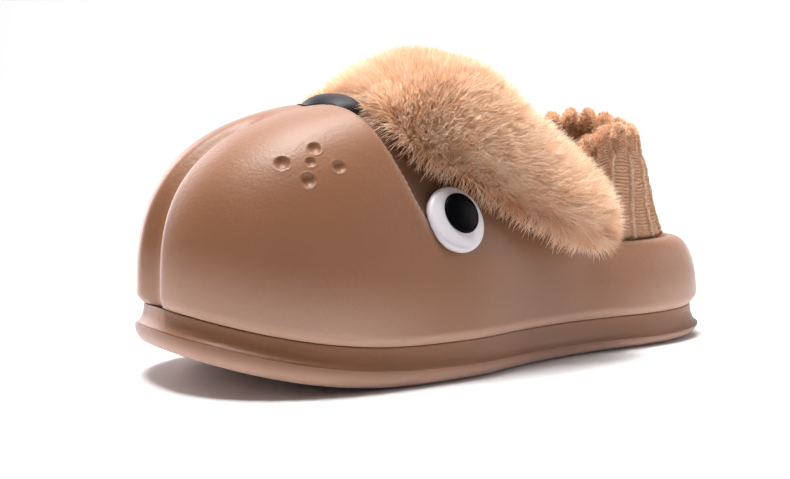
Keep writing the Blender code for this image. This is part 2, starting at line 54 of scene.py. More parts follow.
# Plan of the sole
LENGTH = 0.280
BALL_WIDTH = 0.120
HEEL_WIDTH = 0.081
TOE_ROUND = 0.080
HEEL_ROUND = 0.063
END_SHAPE = 2.33
TOE = -LENGTH / 2
HEEL = LENGTH / 2

# Heights of the sole at mid length, and how much more each is at the toe
RIM_HEIGHT = 0.0066
RIM_RISE = 0.0023
NOTCH_HEIGHT = 0.0152
NOTCH_RISE = 0.0012
TOE_SPRING = 0.0143
TOE_SPRING_LENGTH = 0.095
HEEL_SPRING = 0.0021
HEEL_SPRING_LENGTH = 0.050
BOTTOM_ROUND = 0.0065
NOTCH_INSET = 0.0038
SEAM_GAP = 0.0003
# How high above the notch the painted floor light on the foam's low sides reaches
PAINTED_FLOOR_LIGHT_REACH = 0.030

# Arch and tread
ARCH_ALONG = 0.564
ARCH_LENGTH = 0.080
ARCH_RISE = 0.0020
ARCH_SUPPORT = 0.0035
GROOVE_WIDTH = 0.0035
GROOVE_DEPTH = 0.0016
GROOVE_PITCH = 0.0120
GROOVE_MARGIN = 0.0130
FOREFOOT_GROOVES = 6
FOREFOOT_START = 0.044
HEEL_GROOVES = 4
HEEL_START = 0.028

# Foam shell
WALL = 0.0040
SHELL_INSET = 0.0008
ROLL_HEIGHT = 0.0052
RIM_TOP = 0.0475
THROAT_TOP = 0.113
COLLAR_LENGTH = 0.118
COLLAR_WIDTH = 0.060
COLLAR_BACK = 0.0155
COLLAR_SHAPE = 2.3
COLLAR_LEVEL = 0.0605
FAN = 1.7
LIP_DEPTH = 0.0054
LIP_LOW_WIDTH = 0.0078
LIP_HIGH_WIDTH = 0.0046
LIP_LEFT = 0.0010
LIP_DRIFT = 0.0030
LIP_ALONG = 0.2214
LIP_FADE = 0.024
BROW_DEPTH = 0.0065
BROW_ALONG = 0.2582
BROW_SLOPE = 0.45
BROW_SOFT = 0.005
BROW_LOW = 0.044
BROW_LOW_FADE = 0.036
BROW_LENGTH = 0.113
BROW_LENGTH_FADE = 0.040
PIT_RADIUS = 0.0031
PIT_DEPTH = 0.0015
ROLL_ROWS = (0, 0.04, 0.1, 0.18, 0.28, 0.4, 0.54, 0.7, 0.85)
RIM_ANGLES = [math.pi * k / 8 for k in range(1, 8)]

# Footbed and lining
INSOLE_THICKNESS = 0.0050
INSOLE_GAP = 0.0006
INSOLE_EDGE = 0.0012
HEEL_CUP = 0.0018
LINING_GAP = 0.0005
LINING_THICKNESS = 0.0012

# Gathered cuff
CUFF_THICKNESS = 0.0042
CUFF_TUCK = 0.0110
CUFF_HEIGHT = 0.0535
CUFF_RISE = 0.0020
CUFF_SLANT = 0.0045
CUFF_DROP = 0.0060
CUFF_LEAN = 0.0250
CUFF_TOP_WIDTH = 0.060
CUFF_TOP_DEPTH = 0.031
CUFF_FRONT_DEPTH = 0.0260
CUFF_REACH = 118
CUFF_BULGE = 0.0020
CUFF_RIBS = 13
RIB_SHIFT = 1 / 3
RIB_HEIGHT = 0.0018
CUFF_SINK = 0.0036
HEM_LEVEL = 0.185
FOLD_WIDTH = 0.12
FOLD_WANDER = 0.05
GATHERS = 40
GATHER_DEPTH = 0.0003
CUFF_ROLL = 0.0026
RIDGE_END = 0.94

# Plush
FUR_AXIS = 0.060
FUR_GAP = 0.0014
FUR_REACH = 0.0050
PILE = 0.0185
PILE_CREST = 0.58
PILE_EDGE = 0.0030
EAR_FRONT = 0.0050
EAR_REAR = 0.0024
EAR_END = 5
PAD_HALF = 76
PAD_ROWS = 44

# Eyes and nose
BED_REACH = 0.0026
EYE_ALONG = 0.386
EYE_HEIGHT = 0.0628
EYE_RADIUS = 0.0137
EYE_THICKNESS = 0.0033
EYE_CROWN = 0.0016
EYE_TILT = 24
EYE_TURN = 7
EYE_MARGIN = 0.0065
EYE_SEAT = 0.0014
EYE_BED = 0.0004
RIM_TUCK = 0.95
PUPIL_RADIUS = 0.0085
PUPIL_THICKNESS = 0.0004
PUPIL_CROWN = 0.0013
PUPIL_BACK = 0.0013
PUPIL_UP = 0.0017
NOSE_ALONG = 0.292
NOSE_WIDTH = 0.0370
NOSE_DEPTH = 0.0240
NOSE_CROWN = 0.0085
NOSE_SEAT = 0.0015
BUTTON_SPOKES = 96
RIM_START = 0.97
RIM_DROP = 0.0008
DOME_ROWS = (0.0, 0.1, 0.2, 0.3, 0.4, 0.5, 0.6, 0.68, 0.76, 0.83, 0.88, 0.91, 0.94, 0.965, 0.985, 0.996, 1.0)

# Edges of the plan: along is a share of the length, ball and heel are shares of half those widths
OUTER_EDGE = [
    # along, ball, heel
    (0.00, 1.00, 0.00),
    (0.28, 1.00, 0.00),
    (0.42, 0.96, 0.00),
    (0.55, 0.79, 0.00),
    (0.66, 0.35, 0.52),
    (0.76, 0.00, 1.00),
    (1.00, 0.00, 1.00),
]
INNER_EDGE = [
    # along, ball, heel
    (0.00, 1.00, 0.00),
    (0.23, 1.00, 0.00),
    (0.37, 0.92, 0.00),
    (0.50, 0.73, 0.00),
    (0.62, 0.30, 0.54),
    (0.74, 0.00, 0.98),
    (1.00, 0.00, 1.00),
]
SHELL_SHAPE = [
    # round, exponent
    (0.00, 2.85),
    (0.10, 3.10),
    (0.18, 3.05),
    (0.40, 2.20),
    (0.70, 2.30),
    (1.00, 2.50),
]
FUR_BAND = [
    # turn, front, rear, reach, pile
    (0, 0.331, 0.510, 0.83, 1.00),
    (25, 0.310, 0.550, 0.80, 0.90),
    (47, 0.307, 0.612, 0.71, 0.76),
    (62, 0.367, 0.648, 0.68, 0.68),
    (76, 0.458, 0.672, 0.70, 0.62),
    (90, 0.548, 0.681, 0.74, 0.57),
    (100, 0.613, 0.682, 0.75, 0.50),
    (106, 0.655, 0.676, 0.75, 0.36),
]
WHISKER_PITS = [
    # along, height, size
    (0.135, 0.769, 0.95),
    (0.181, 0.817, 0.86),
    (0.206, 0.754, 0.80),
    (0.161, 0.711, 0.92),
    (0.170, 0.772, 0.64),
]

# Tints of the sheen on foam and on plush
FOAM_SHEEN = (1.0, 0.90, 0.93, 1.0)
PLUSH_SHEEN = (1.0, 0.72, 0.50, 1.0)

# Lamps, sky and camera
MIDDLE = (0, 0, 0.05)
WARM = (1.0, 0.985, 0.97)
LAMPS = [
    # name, place, target, size, power, colour, beam
    ("main", (-0.20, 0.12, 1.20), MIDDLE, (0.50, 0.45), 7.8, WARM, 180),
    ("back", (-0.36, 0.68, 0.95), MIDDLE, (0.5, 0.45), 3.6, WARM, 180),
    ("key", (-0.02, -0.25, 1.20), MIDDLE, (0.4, 0.4), 2.5, WARM, 60),
    ("left", (-1.38, -0.30, 0.45), MIDDLE, (0.8, 0.8), 11.5, (1.0, 0.96, 1.0), 180),
    ("right", (0.55, 1.20, 0.50), MIDDLE, (0.5, 0.6), 3.6, (1.0, 0.98, 1.0), 180),
    ("backdrop", (-0.8, 0.8, 2.4), (-2.8, 1.9, 0.8), (2.4, 1.4), 140.0, (1.0, 1.0, 1.0), 180),
]
SKY = 0.18
CAMERA_PLACE = (0.4742, -0.3307, 0.1052)
CAMERA_TURN = 57.33
CAMERA_TILT = 5.464
CAMERA_LENS = 60.05


# Shapes shared by the pieces


def clamp(value, low=0.0, high=1.0):
    return min(max(value, low), high)


def ease(value):
    """A smooth step from 0 to 1."""
    t = np.clip(value, 0.0, 1.0)
    return t * t * (3 - 2 * t)


def through(rows, at):
    """A table's columns at one place, on a smooth curve through its rows."""
    keys = [row[0] for row in rows]
    last = len(rows) - 1
    i = int(clamp(bisect_right(keys, at) - 1, 0, last - 1))
    span = keys[i + 1] - keys[i]
    t = clamp((at - keys[i]) / span)

    def slope(k):
        before, after = max(k - 1, 0), min(k + 1, last)
        rise = np.subtract(rows[after][1:], rows[before][1:])
        return rise / (keys[after] - keys[before]) * span

    start, end = np.array(rows[i][1:]), np.array(rows[i + 1][1:])
    return (
        (2 * t**3 - 3 * t**2 + 1) * start
        + (t**3 - 2 * t**2 + t) * slope(i)
        + (3 * t**2 - 2 * t**3) * end
        + (t**3 - t**2) * slope(i + 1)
    )


def spread(count, peaks=()):
    """Shares from 0 to 1 that crowd round the peaks, each given as centre, width and gain."""
    fine = np.linspace(0, 1, 4001)
    weight = np.ones_like(fine)
    for centre, width, gain in peaks:
        weight += gain * np.exp(-(((fine - centre) / width) ** 2))
    run = np.concatenate([[0], np.cumsum((weight[1:] + weight[:-1]) / 2)])
    return np.interp(np.linspace(0, run[-1], count + 1), run, fine)


def half_width(y, rows):
    """Half the sole's width at y, on the side that the table describes."""
    ball, heel = through(rows, y / LENGTH + 0.5)
    side = ball * BALL_WIDTH / 2 + heel * HEEL_WIDTH / 2
    toe = clamp((TOE_ROUND + TOE - y) / TOE_ROUND)
    back = clamp((y - HEEL + HEEL_ROUND) / HEEL_ROUND)
    return side * ((1 - toe**END_SHAPE) * (1 - back**END_SHAPE)) ** (1 / END_SHAPE)


def side_line(rows, sign, shares):
    """Points along one edge at shares of its run from the toe's tip to the heel's back."""
    fine = 1500
    ys = [TOE * math.cos(math.pi * k / fine) for k in range(fine + 1)]
    line = np.array([(sign * half_width(y, rows), y) for y in ys])
    run = np.concatenate([[0], np.cumsum(np.linalg.norm(np.diff(line, axis=0), axis=1))])
    along = shares * run[-1]
    return np.column_stack([np.interp(along, run, line[:, 0]), np.interp(along, run, line[:, 1])])


def plan_loop(shares):
    """The sole's rim seen from above: points, outward normals and the share round from toe to heel."""
    outer = side_line(OUTER_EDGE, 1, shares)
    inner = side_line(INNER_EDGE, -1, shares)
    points = np.vstack([outer, inner[-2:0:-1]])
    rounds = np.concatenate([shares, shares[-2:0:-1]])
    tangents = np.roll(points, -1, axis=0) - np.roll(points, 1, axis=0)
    normals = np.column_stack([tangents[:, 1], -tangents[:, 0]])
    normals /= np.linalg.norm(normals, axis=1)[:, None]
    return points, normals, rounds


def spring(y):
    """How far the bottom is lifted off the floor at y."""
    toe = np.clip((TOE_SPRING_LENGTH + TOE - y) / TOE_SPRING_LENGTH, 0, 1)
    heel = np.clip((y - HEEL + HEEL_SPRING_LENGTH) / HEEL_SPRING_LENGTH, 0, 1)
    return TOE_SPRING * toe**2 + HEEL_SPRING * heel**2


def rim_height(y):
    return RIM_HEIGHT - RIM_RISE * y / HEEL + spring(y)


def notch_height(y):
    return NOTCH_HEIGHT - NOTCH_RISE * y / HEEL + spring(y)


def arch(y):
    """The arch's swell at y, from 0 to 1."""
    return np.clip(1 - ((y - TOE - ARCH_ALONG * LENGTH) / (ARCH_LENGTH / 2)) ** 2, 0, 1) ** 2


def ring(plan, inset, height):
    """One closed ring of points: the plan moved in by inset, at heights that follow y."""
    points, normals, _ = plan
    return np.column_stack([points - normals * inset, height(points[:, 1])])


def oval(angle):
    """Shares across and along an oval opening, for angles measured from its back."""
    across = np.sign(np.sin(angle)) * np.abs(np.sin(angle)) ** (2 / COLLAR_SHAPE)
    along = np.sign(np.cos(angle)) * np.abs(np.cos(angle)) ** (2 / COLLAR_SHAPE)
    return across, along


def collar_back():
    return HEEL - COLLAR_BACK


def collar_height(y):
    """Height of the shell's opening at y: level round the heel, then rising to the throat."""
    before = collar_back() - COLLAR_LEVEL - y
    return RIM_TOP + (THROAT_TOP - RIM_TOP) * ease(before / (COLLAR_LENGTH - COLLAR_LEVEL))


def collar_loop(plan):
    """The edge of the opening, one point for each point of the plan."""
    points, _, rounds = plan
    across, along = oval(math.pi * (1 - rounds**FAN))
    x = np.where(points[:, 0] < 0, -1, 1) * COLLAR_WIDTH / 2 * across
    y = collar_back() - COLLAR_LENGTH / 2 * (1 - along)
    return np.column_stack([x, y, collar_height(y)])


def grid_normals(grid):
    """Outward normals of a grid whose rows are closed rings, bottom to top."""
    up = np.gradient(grid, axis=0)
    around = np.roll(grid, -1, axis=1) - np.roll(grid, 1, axis=1)
    normals = np.cross(around, up)
    return normals / np.linalg.norm(normals, axis=2)[:, :, None]


def lip_share(x, y, z):
    """How deep the groove between the two lips is at a point, from 0 to 1."""
    up = ease((z - 0.035) / (THROAT_TOP - 0.035))
    middle = -LIP_LEFT - LIP_DRIFT * up
    wide = LIP_LOW_WIDTH + (LIP_HIGH_WIDTH - LIP_LOW_WIDTH) * up
    return np.exp(-np.abs((x - middle) / wide) ** 3) * ease((TOE + LIP_ALONG * LENGTH - y) / LIP_FADE)


def brow_share(y, z):
    """How deep the hollow behind the muzzle is at a point, from 0 to 1."""
    behind = y - TOE - BROW_ALONG * LENGTH
    share = ease((behind - BROW_SLOPE * (THROAT_TOP - z)) / BROW_SOFT + 0.5)
    return share * ease((z - BROW_LOW) / BROW_LOW_FADE) * ease((BROW_LENGTH - behind) / BROW_LENGTH_FADE)


def face_relief(x, y, z):
    """How far the shell's face stands out or in: the lip groove and the step behind the muzzle."""
    lip = -LIP_DEPTH * lip_share(x, y, z) * (1 - 0.35 * ease((z - 0.06) / 0.05))
    return lip - BROW_DEPTH * brow_share(y, z)


def shell_grid(shares, rows):
    """The shell's face without relief, as rows of rings from the notch to the collar, with its relief."""
    plan = plan_loop(shares)
    _, normals, rounds = plan
    foot = ring(plan, SHELL_INSET, notch_height)
    foot[:, 2] += SEAM_GAP
    top = collar_loop(plan)
    power = np.array([float(through(SHELL_SHAPE, share)[0]) for share in rounds])
    rise = top[:, 2] - foot[:, 2]

    def turn_at(height):
        return 2 / math.pi * np.arcsin((height / rise) ** (power / 2))

    rolled = turn_at(ROLL_HEIGHT)
    turns = [turn_at(ROLL_HEIGHT * share) for share in ROLL_ROWS]
    turns += [rolled + (1 - rolled) * share for share in rows]
    grid = []
    for turn in turns:
        inward = 1 - np.cos(math.pi / 2 * turn).clip(0) ** (2 / power)
        upward = np.sin(math.pi / 2 * turn) ** (2 / power)
        points = foot + (top - foot) * np.column_stack([inward, inward, upward])
        tuck = (NOTCH_INSET - SHELL_INSET) * (1 - upward * rise / ROLL_HEIGHT).clip(0) ** 2
        tuck *= 1 - lip_share(points[:, 0], points[:, 1], points[:, 2])
        points[:, :2] -= normals * tuck[:, None]
        grid.append(points)
    grid = np.array(grid)
    return grid, face_relief(grid[..., 0], grid[..., 1], grid[..., 2])


def ripple(points, size, seed):
    """Smooth unevenness from -1 to 1 at each point, with bumps of about this size."""
    rng = np.random.default_rng(seed)
    total = np.zeros(points.shape[:-1])
    for _ in range(9):
        way = rng.normal(size=3)
        way /= np.linalg.norm(way)
        pace = 2 * math.pi / size * rng.uniform(0.6, 1.5)
        total += np.sin(points @ way * pace + rng.uniform(0, 2 * math.pi))
    return total / 4.5


# Finishes


def join(socket, item):
    """Feeds a socket with a value of its tree or with a plain number."""
    if isinstance(item, Value):
        socket.id_data.links.new(item.socket, socket)
    else:
        socket.default_value = item


class Value:
    """A value inside a node tree, on which sums and products can be worked."""

    def __init__(self, socket):
        self.socket = socket

    def work(self, operation, first, second):
        node = self.socket.id_data.nodes.new("ShaderNodeMath")
        node.operation = operation
        join(node.inputs[0], first)
        join(node.inputs[1], second)
        return Value(node.outputs[0])

    def __add__(self, other):
        return self.work("ADD", self, other)

    def __radd__(self, other):
        return self.work("ADD", other, self)

    def __sub__(self, other):
        return self.work("SUBTRACT", self, other)

    def __rsub__(self, other):
        return self.work("SUBTRACT", other, self)

    def __mul__(self, other):
        return self.work("MULTIPLY", self, other)

    def __rmul__(self, other):
        return self.work("MULTIPLY", other, self)


class Tree:
    """A node tree under construction."""

    def __init__(self, nodes):
        self.nodes = nodes

    def node(self, kind, settings, inputs, output=0):
        """Adds a node: its settings first, then the values or links of its sockets."""
        node = self.nodes.new(kind)
        for key, value in settings.items():
            if key == "stops":
                ramp = node.color_ramp
                while len(ramp.elements) < len(value):
                    ramp.elements.new(0.5)
                for element, (place, colour) in zip(ramp.elements, value):
                    element.position = place
                    element.color = (*colour, 1.0)
            else:
                setattr(node, key, value)
        for key, value in inputs.items():
            join(node.inputs[key], value)
        return Value(node.outputs[output])


class Finish(Tree):
    """A material under construction, with its shader and its other nodes."""

    def __init__(self, name, **constants):
        self.material = bpy.data.materials.new(name)
        self.material.use_nodes = True
        super().__init__(self.material.node_tree.nodes)
        self.shader = self.nodes["Principled BSDF"]
        for socket, value in constants.items():
            self.shader.inputs[socket.replace("_", " ")].default_value = value

    def place(self):
        return self.node("ShaderNodeTexCoord", {}, {}, "Object")

    def noise(self, scale, detail=3.0, rough=0.5):
        inputs = {"Vector": self.place(), "Scale": scale, "Detail": detail, "Roughness": rough}
        return self.node("ShaderNodeTexNoise", {}, inputs)

    def ramp(self, at, *stops):
        """A colour read off stops, each given as a place and a colour."""
        return self.node("ShaderNodeValToRGB", {"stops": stops}, {"Fac": at})

    def mix(self, share, first, second):
        """A colour between two, given as colours or links."""
        pair = [part if isinstance(part, Value) else (*part, 1.0) for part in (first, second)]
        return self.node("ShaderNodeMix", {"data_type": "RGBA"}, {0: share, 6: pair[0], 7: pair[1]}, 2)

    def band(self, value, low, high):
        """0 below low, 1 above high and smooth between."""
        settings = {"interpolation_type": "SMOOTHSTEP"}
        return self.node("ShaderNodeMapRange", settings, {0: value, 1: low, 2: high})

    def named(self, name):
        return self.node("ShaderNodeAttribute", {"attribute_name": name}, {}, "Fac")

    def colour(self, value):
        join(self.shader.inputs["Base Color"], value)

    def rough(self, value):
        join(self.shader.inputs["Roughness"], value)

    def glow(self, colour, share):
        """Lets some of the light through, as a thin hair does."""
        through = self.node("ShaderNodeBsdfTranslucent", {}, {"Color": colour})
        skin = Value(self.shader.outputs[0])
        mixed = self.node("ShaderNodeMixShader", {}, {0: share, 1: skin, 2: through})
        join(self.nodes["Material Output"].inputs["Surface"], mixed)

    def bump(self, height, depth):
        bump = self.node("ShaderNodeBump", {}, {"Height": height, "Distance": depth})
        join(self.shader.inputs["Normal"], bump)


def foam_finish(name, light, dark, under, grain):
    """Satin moulded foam: fine pebbled skin and faint clouding, with painted shade in the hollow behind the
    muzzle and a painted reflection of the lit floor, paler and pinker, where it faces the floor or lies low.
    """
    sheen = {"Sheen_Weight": 0.40, "Sheen_Roughness": 0.35, "Sheen_Tint": FOAM_SHEEN}
    foam = Finish(name, Specular_IOR_Level=0.48, **sheen)
    skin = foam.mix(foam.band(foam.noise(14.0, 2.0), 0.35, 0.65), dark, light)
    # Painted shade: the foam darkened to half in the hollow behind the muzzle, where the plush overhangs it
    deep = foam.mix(0.50, skin, (0.0, 0.0, 0.0))
    skin = foam.mix(foam.named("hollow"), skin, deep)
    # Painted reflection of the lit floor: paler, pinker foam where it faces the floor or lies low
    foam.colour(foam.mix(foam.named("under"), skin, under))
    cells = {"Vector": foam.place(), "Scale": 820.0}
    pebbles = foam.node("ShaderNodeTexVoronoi", {"feature": "SMOOTH_F1"}, cells)
    fine = foam.noise(1500.0, 2.0)
    foam.rough(0.41 + 0.10 * foam.noise(60.0, 2.0) + 0.06 * fine)
    foam.bump(pebbles * 0.7 + fine * 0.6 + foam.noise(260.0, 2.0) * 0.9, grain)
    return foam.material


def pile_finish(name, root, middle, tip):
    """Plush hair: dark at its root, light at its tip, and no two tufts quite alike."""
    pile = Finish(name, Specular_IOR_Level=0.25)
    along = pile.named("along")
    tone = pile.named("tone")
    pale = pile.ramp(along, (0.0, root), (0.34, middle), (0.85, tip))
    deep = pile.ramp(along, (0.0, root), (0.45, root), (1.0, middle))
    hair = pile.mix(pile.band(tone, 0.25, 0.65), deep, pale)
    pile.colour(hair)
    pile.rough(0.75 + 0.1 * tone)
    pile.glow(hair, 0.30)
    return pile.material


def skin_finish(name, colour, dark):
    """The backing under the pile."""
    skin = Finish(name, Specular_IOR_Level=0.1)
    weave = skin.noise(900.0, 3.0)
    skin.colour(skin.mix(weave, dark, colour))
    skin.rough(0.9 + 0.05 * weave)
    skin.bump(weave, 0.0004)
    return skin.material


def plush_finish(name, colour, dark, scale, depth):
    """Short nap seen as a surface, as on the footbed and the lining."""
    plush = Finish(name, Specular_IOR_Level=0.15, Sheen_Weight=0.4, Sheen_Tint=PLUSH_SHEEN)
    nap = plush.noise(scale, 4.0, 0.7)
    drift = plush.noise(scale / 12, 3.0)
    plush.colour(plush.mix(plush.band(nap * 0.6 + drift * 0.4, 0.38, 0.62), dark, colour))
    plush.rough(0.85 + 0.1 * nap)
    plush.bump(nap + drift * 0.5, depth)
    return plush.material


def cuff_finish(name, valley, ridge, dark):
    """Knitted plush cloth: short nap, light along its folds, with painted shade in the troughs of its gathers
    and pale flecks painted in as glints on the nap.
    """
    cloth = Finish(name, Specular_IOR_Level=0.15, Sheen_Weight=0.3, Sheen_Tint=PLUSH_SHEEN)
    nap = cloth.noise(1400.0, 4.0, 0.7)
    # Painted glints: pale flecks of the ridge colour scattered over the cloth, as light catching the nap
    flecks = cloth.band(cloth.noise(700.0, 3.0, 0.8), 0.52, 0.70)
    # Painted shade: the cloth darker in the troughs of the gathers, where they sink in
    ground = cloth.mix(cloth.band(cloth.named("crest") + 0.5 * nap, 0.35, 1.05), dark, valley)
    cloth.colour(cloth.mix(cloth.band(cloth.named("fold") * 0.8 + flecks * 0.45, 0.25, 0.95), ground, ridge))
    cloth.rough(0.75 + 0.15 * nap)
    cloth.bump(nap + flecks * 0.8, 0.0005)
    return cloth.material


def gloss_finish(name, colour, rough, level=0.5):
    """Moulded button plastic."""
    gloss = Finish(name, Specular_IOR_Level=level)
    wear = gloss.noise(240.0, 3.0)
    gloss.colour(gloss.mix(wear, colour, tuple(min(1.0, part * 1.12 + 0.002) for part in colour)))
    gloss.rough(rough + 0.06 * wear)
    return gloss.material


# Pieces


def grid_faces(rows, columns, round_columns=True, round_rows=False):
    """Quads of a grid of points, closed round its columns or its rows where asked."""
    down = np.arange(rows if round_rows else rows - 1)
    along = np.arange(columns if round_columns else columns - 1)
    r, c = (part.ravel() for part in np.meshgrid(down, along, indexing="ij"))
    r_next, c_next = (r + 1) % rows, (c + 1) % columns
    quads = [r * columns + c, r * columns + c_next, r_next * columns + c_next, r_next * columns + c]
    return np.column_stack(quads).tolist()


def cap_faces(start, columns, flip):
    """A fan-free cap: rungs between the left and right halves of a ring that starts at a vertex number."""
    faces = []
    for i in range(columns // 2):
        others = [(columns - i - 1) % columns, (columns - i) % columns]
        rung = [start + k for k in dict.fromkeys([i, i + 1, others[0], others[1]])]
        faces.append(rung[::-1] if flip else rung)
    return faces


def stack_faces(rings):
    """Faces of a solid stacked from closed rings, with both ends capped."""
    columns = len(rings[0])
    last = (len(rings) - 1) * columns
    return grid_faces(len(rings), columns) + cap_faces(0, columns, True) + cap_faces(last, columns, False)


def solid(name, points, faces, material):
    """A closed mesh piece with its faces turned outward and smoothed."""
    data = bpy.data.meshes.new(name)
    data.from_pydata(np.asarray(points).reshape(-1, 3).tolist(), [], faces)
    mesh = bmesh.new()
    mesh.from_mesh(data)
    bmesh.ops.recalc_face_normals(mesh, faces=mesh.faces)
    if mesh.calc_volume(signed=True) < 0:
        bmesh.ops.reverse_faces(mesh, faces=mesh.faces)
    mesh.to_mesh(data)
    mesh.free()
    data.shade_smooth()
    data.materials.append(material)
    item = bpy.data.objects.new(name, data)
    bpy.context.scene.collection.objects.link(item)
    return item


def settle(item, stands_for=()):
    """Fixes a piece to the slipper and hides the solids that it stands for."""
    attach(item, "root")
    if stands_for:
        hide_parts(*stands_for)
    return item


def tag(item, name, values):
    """Stores one number, or one vector, for each point of a piece."""
    values = np.asarray(values, dtype=float)
    kind = "FLOAT" if values.ndim == 1 else "FLOAT_VECTOR"
    layer = item.data.attributes.new(name, kind, "POINT")
    layer.data.foreach_set("value" if kind == "FLOAT" else "vector", values.ravel())


def tag_painted_floor_light(item, low=0.0):
    """Stores how far each point of a foam piece faces the floor or lies low, where the skin is painted paler
    as a reflection of the lit floor.
    """
    item.data.update()
    fall = -np.array([vertex.normal.z for vertex in item.data.vertices])
    place = np.array([vertex.co for vertex in item.data.vertices])
    above = place[:, 2] - notch_height(place[:, 1])
    ends = 0.15 + 0.85 * ease((np.abs(place[:, 1] - 0.010) - 0.040) / 0.060)
    low = low * ends * ease((PAINTED_FLOOR_LIGHT_REACH - above) / PAINTED_FLOOR_LIGHT_REACH)
    tag(item, "under", np.maximum(ease((fall + 0.06) / 0.75), low))
    return item


def surface_tree(item):
    """A search tree of a piece's faces."""
    points = [vertex.co for vertex in item.data.vertices]
    return BVHTree.FromPolygons(points, [face.vertices[:] for face in item.data.polygons])


def drop(tree, point, direction):
    """Where a line that comes in from outside, against the direction, first meets the surface."""
    start = Vector(point) + Vector(direction) * LENGTH
    return tree.ray_cast(start, -Vector(direction), 2 * LENGTH)[0]


def make_bottom(foam):
    """The lower foam layer, with grooves pressed across the forefoot and the heel."""
    plan = plan_loop(spread(300, ((0.0, 0.03, 2.5), (1.0, 0.04, 2.0))))
    y = plan[0][:, 1]
    columns = len(y)
    rings = []
    for turn in (1.0, 0.995, 0.97, 0.9, 0.8, 0.68, 0.55, 0.42, 0.3, 0.2, 0.1, 0.0):
        angle = math.pi / 2 * turn
        points = ring(plan, BOTTOM_ROUND * (1 - math.sin(angle)), spring)
        points[:, 2] += (rim_height(y) - spring(y) - SEAM_GAP) * (1 - math.cos(angle))
        points[:, 2] += arch_lift(points) * math.cos(angle)
        rings.append(points)
    lip = rings[0].copy()
    lip[:, :2] -= plan[1] * 0.0008
    lip[:, 2] += 0.0002
    rings.insert(0, lip)
    edge = rings[-1]
    half = columns // 2
    across = np.linspace(1, 0, 31)[1:-1]
    points = [np.vstack(rings)]
    faces = grid_faces(len(rings), columns) + cap_faces(0, columns, True)
    base = (len(rings) - 1) * columns
    strip = []
    for i in range(1, half):
        right, left = edge[i], edge[columns - i]
        line = left + (right - left) * across[:, None]
        start, end = (float(spring(p[1]) + arch_lift(p[None])[0]) for p in (left, right))
        line[:, 2] += spring(line[:, 1]) + arch_lift(line) + tread(line) - start - (end - start) * across
        strip.append(line)
    strip = np.array(strip)
    first = len(rings) * columns
    width = len(across) + 2

    def number(i, k):
        if i in (0, half) or k == 0:
            return base + i
        if k == width - 1:
            return base + columns - i
        return first + (i - 1) * len(across) + k - 1

    for i in range(half):
        for k in range(width - 1):
            square = (i, k), (i + 1, k), (i + 1, k + 1), (i, k + 1)
            corners = list(dict.fromkeys(number(*corner) for corner in square))
            if len(corners) > 2:
                faces.append(corners)
    points.append(strip.reshape(-1, 3))
    return settle(tag_painted_floor_light(solid("outsole_foam", np.vstack(points), faces, foam)), ["outsole"])


def arch_lift(points):
    """The rise of the underside at the arch, on the inner side of the foot."""
    return ARCH_RISE * arch(points[:, 1]) * ease(0.5 - points[:, 0] / (HEEL_WIDTH / 2))


def tread(points):
    """The grooves' depth below the sole's face, with soft walls."""
    centres = [TOE + FOREFOOT_START + GROOVE_PITCH * k for k in range(FOREFOOT_GROOVES)]
    centres += [HEEL - HEEL_START - GROOVE_PITCH * k for k in range(HEEL_GROOVES)]
    x, y = points[:, 0], points[:, 1]
    depth = np.zeros(len(points))
    for centre in centres:
        left = -half_width(centre, INNER_EDGE) + GROOVE_MARGIN
        right = half_width(centre, OUTER_EDGE) - GROOVE_MARGIN
        wall = ease((GROOVE_WIDTH / 2 - np.abs(y - centre)) / 0.0009 + 0.5)
        ends = ease((x - left) / 0.001 + 0.5) * ease((right - x) / 0.001 + 0.5)
        depth += GROOVE_DEPTH * wall * ends
    return depth


def make_band(foam):
    """The upper foam layer, whose side sweeps in from the parting line to the notch under the shell."""
    plan = plan_loop(spread(260, ((0.0, 0.04, 2.5), (1.0, 0.05, 2.0))))
    y = plan[0][:, 1]
    rings = []
    for share in (0.0, 0.02, 0.05, 0.1, 0.17, 0.25, 0.35, 0.46, 0.58, 0.7, 0.82, 0.92, 1.0):
        inset = NOTCH_INSET * math.sqrt(1 - (1 - share) ** 2) + 0.0004 * clamp(1 - share / 0.05)
        points = ring(plan, inset, rim_height)
        points[:, 2] += (notch_height(y) - rim_height(y)) * share
        rings.append(points)
    item = tag_painted_floor_light(solid("midsole_foam", np.vstack(rings), stack_faces(rings), foam))
    return settle(item, ["midsole"])


def pit_relief(grid, normals):
    """The whisker pits pressed into both cheeks."""
    depth = np.zeros(grid.shape[:2])
    flat = grid.reshape(-1, 3)
    for side in (1, -1):
        facing = normals[..., 0].ravel() * side > 0.2
        for along, height, size in WHISKER_PITS:
            away = np.hypot(flat[:, 1] - TOE - along * LENGTH, flat[:, 2] - height * THROAT_TOP)
            centre = flat[np.argmin(np.where(facing, away, 1.0))]
            share = np.linalg.norm(grid - centre, axis=2) / (PIT_RADIUS * size)
            bowl = (1 - np.clip(share, 0, 1.08) ** 2.2 * 0.84) * ease((1.08 - share) / 0.24)
            lip = np.exp(-(((share - 1.16) / 0.14) ** 2))
            depth += PIT_DEPTH * size * bowl - 0.00012 * lip
    return depth


def flatten_seats(grid, normals):
    """Presses a flat seat into the shell under each eye, as deep as the disc's edge needs."""
    pressed = grid.copy()
    for side in (1, -1):
        facing = eye_facing(side)
        away = np.hypot(grid[..., 1] - TOE - EYE_ALONG * LENGTH, grid[..., 2] - EYE_HEIGHT)
        away = np.where(normals[..., 0] * side > 0.2, away, 1.0)
        centre = grid.reshape(-1, 3)[np.argmin(away)]
        height = (grid - centre) @ np.array(facing)
        radial = np.linalg.norm(grid - centre - height[..., None] * np.array(facing), axis=2)
        near = ease((EYE_RADIUS * 1.22 - radial) / (EYE_RADIUS * 0.2)) * (np.abs(height) < 0.02)
        excess = np.maximum(height - EYE_SEAT, 0) * near
        pressed -= excess[..., None] * np.array(facing)
    return pressed


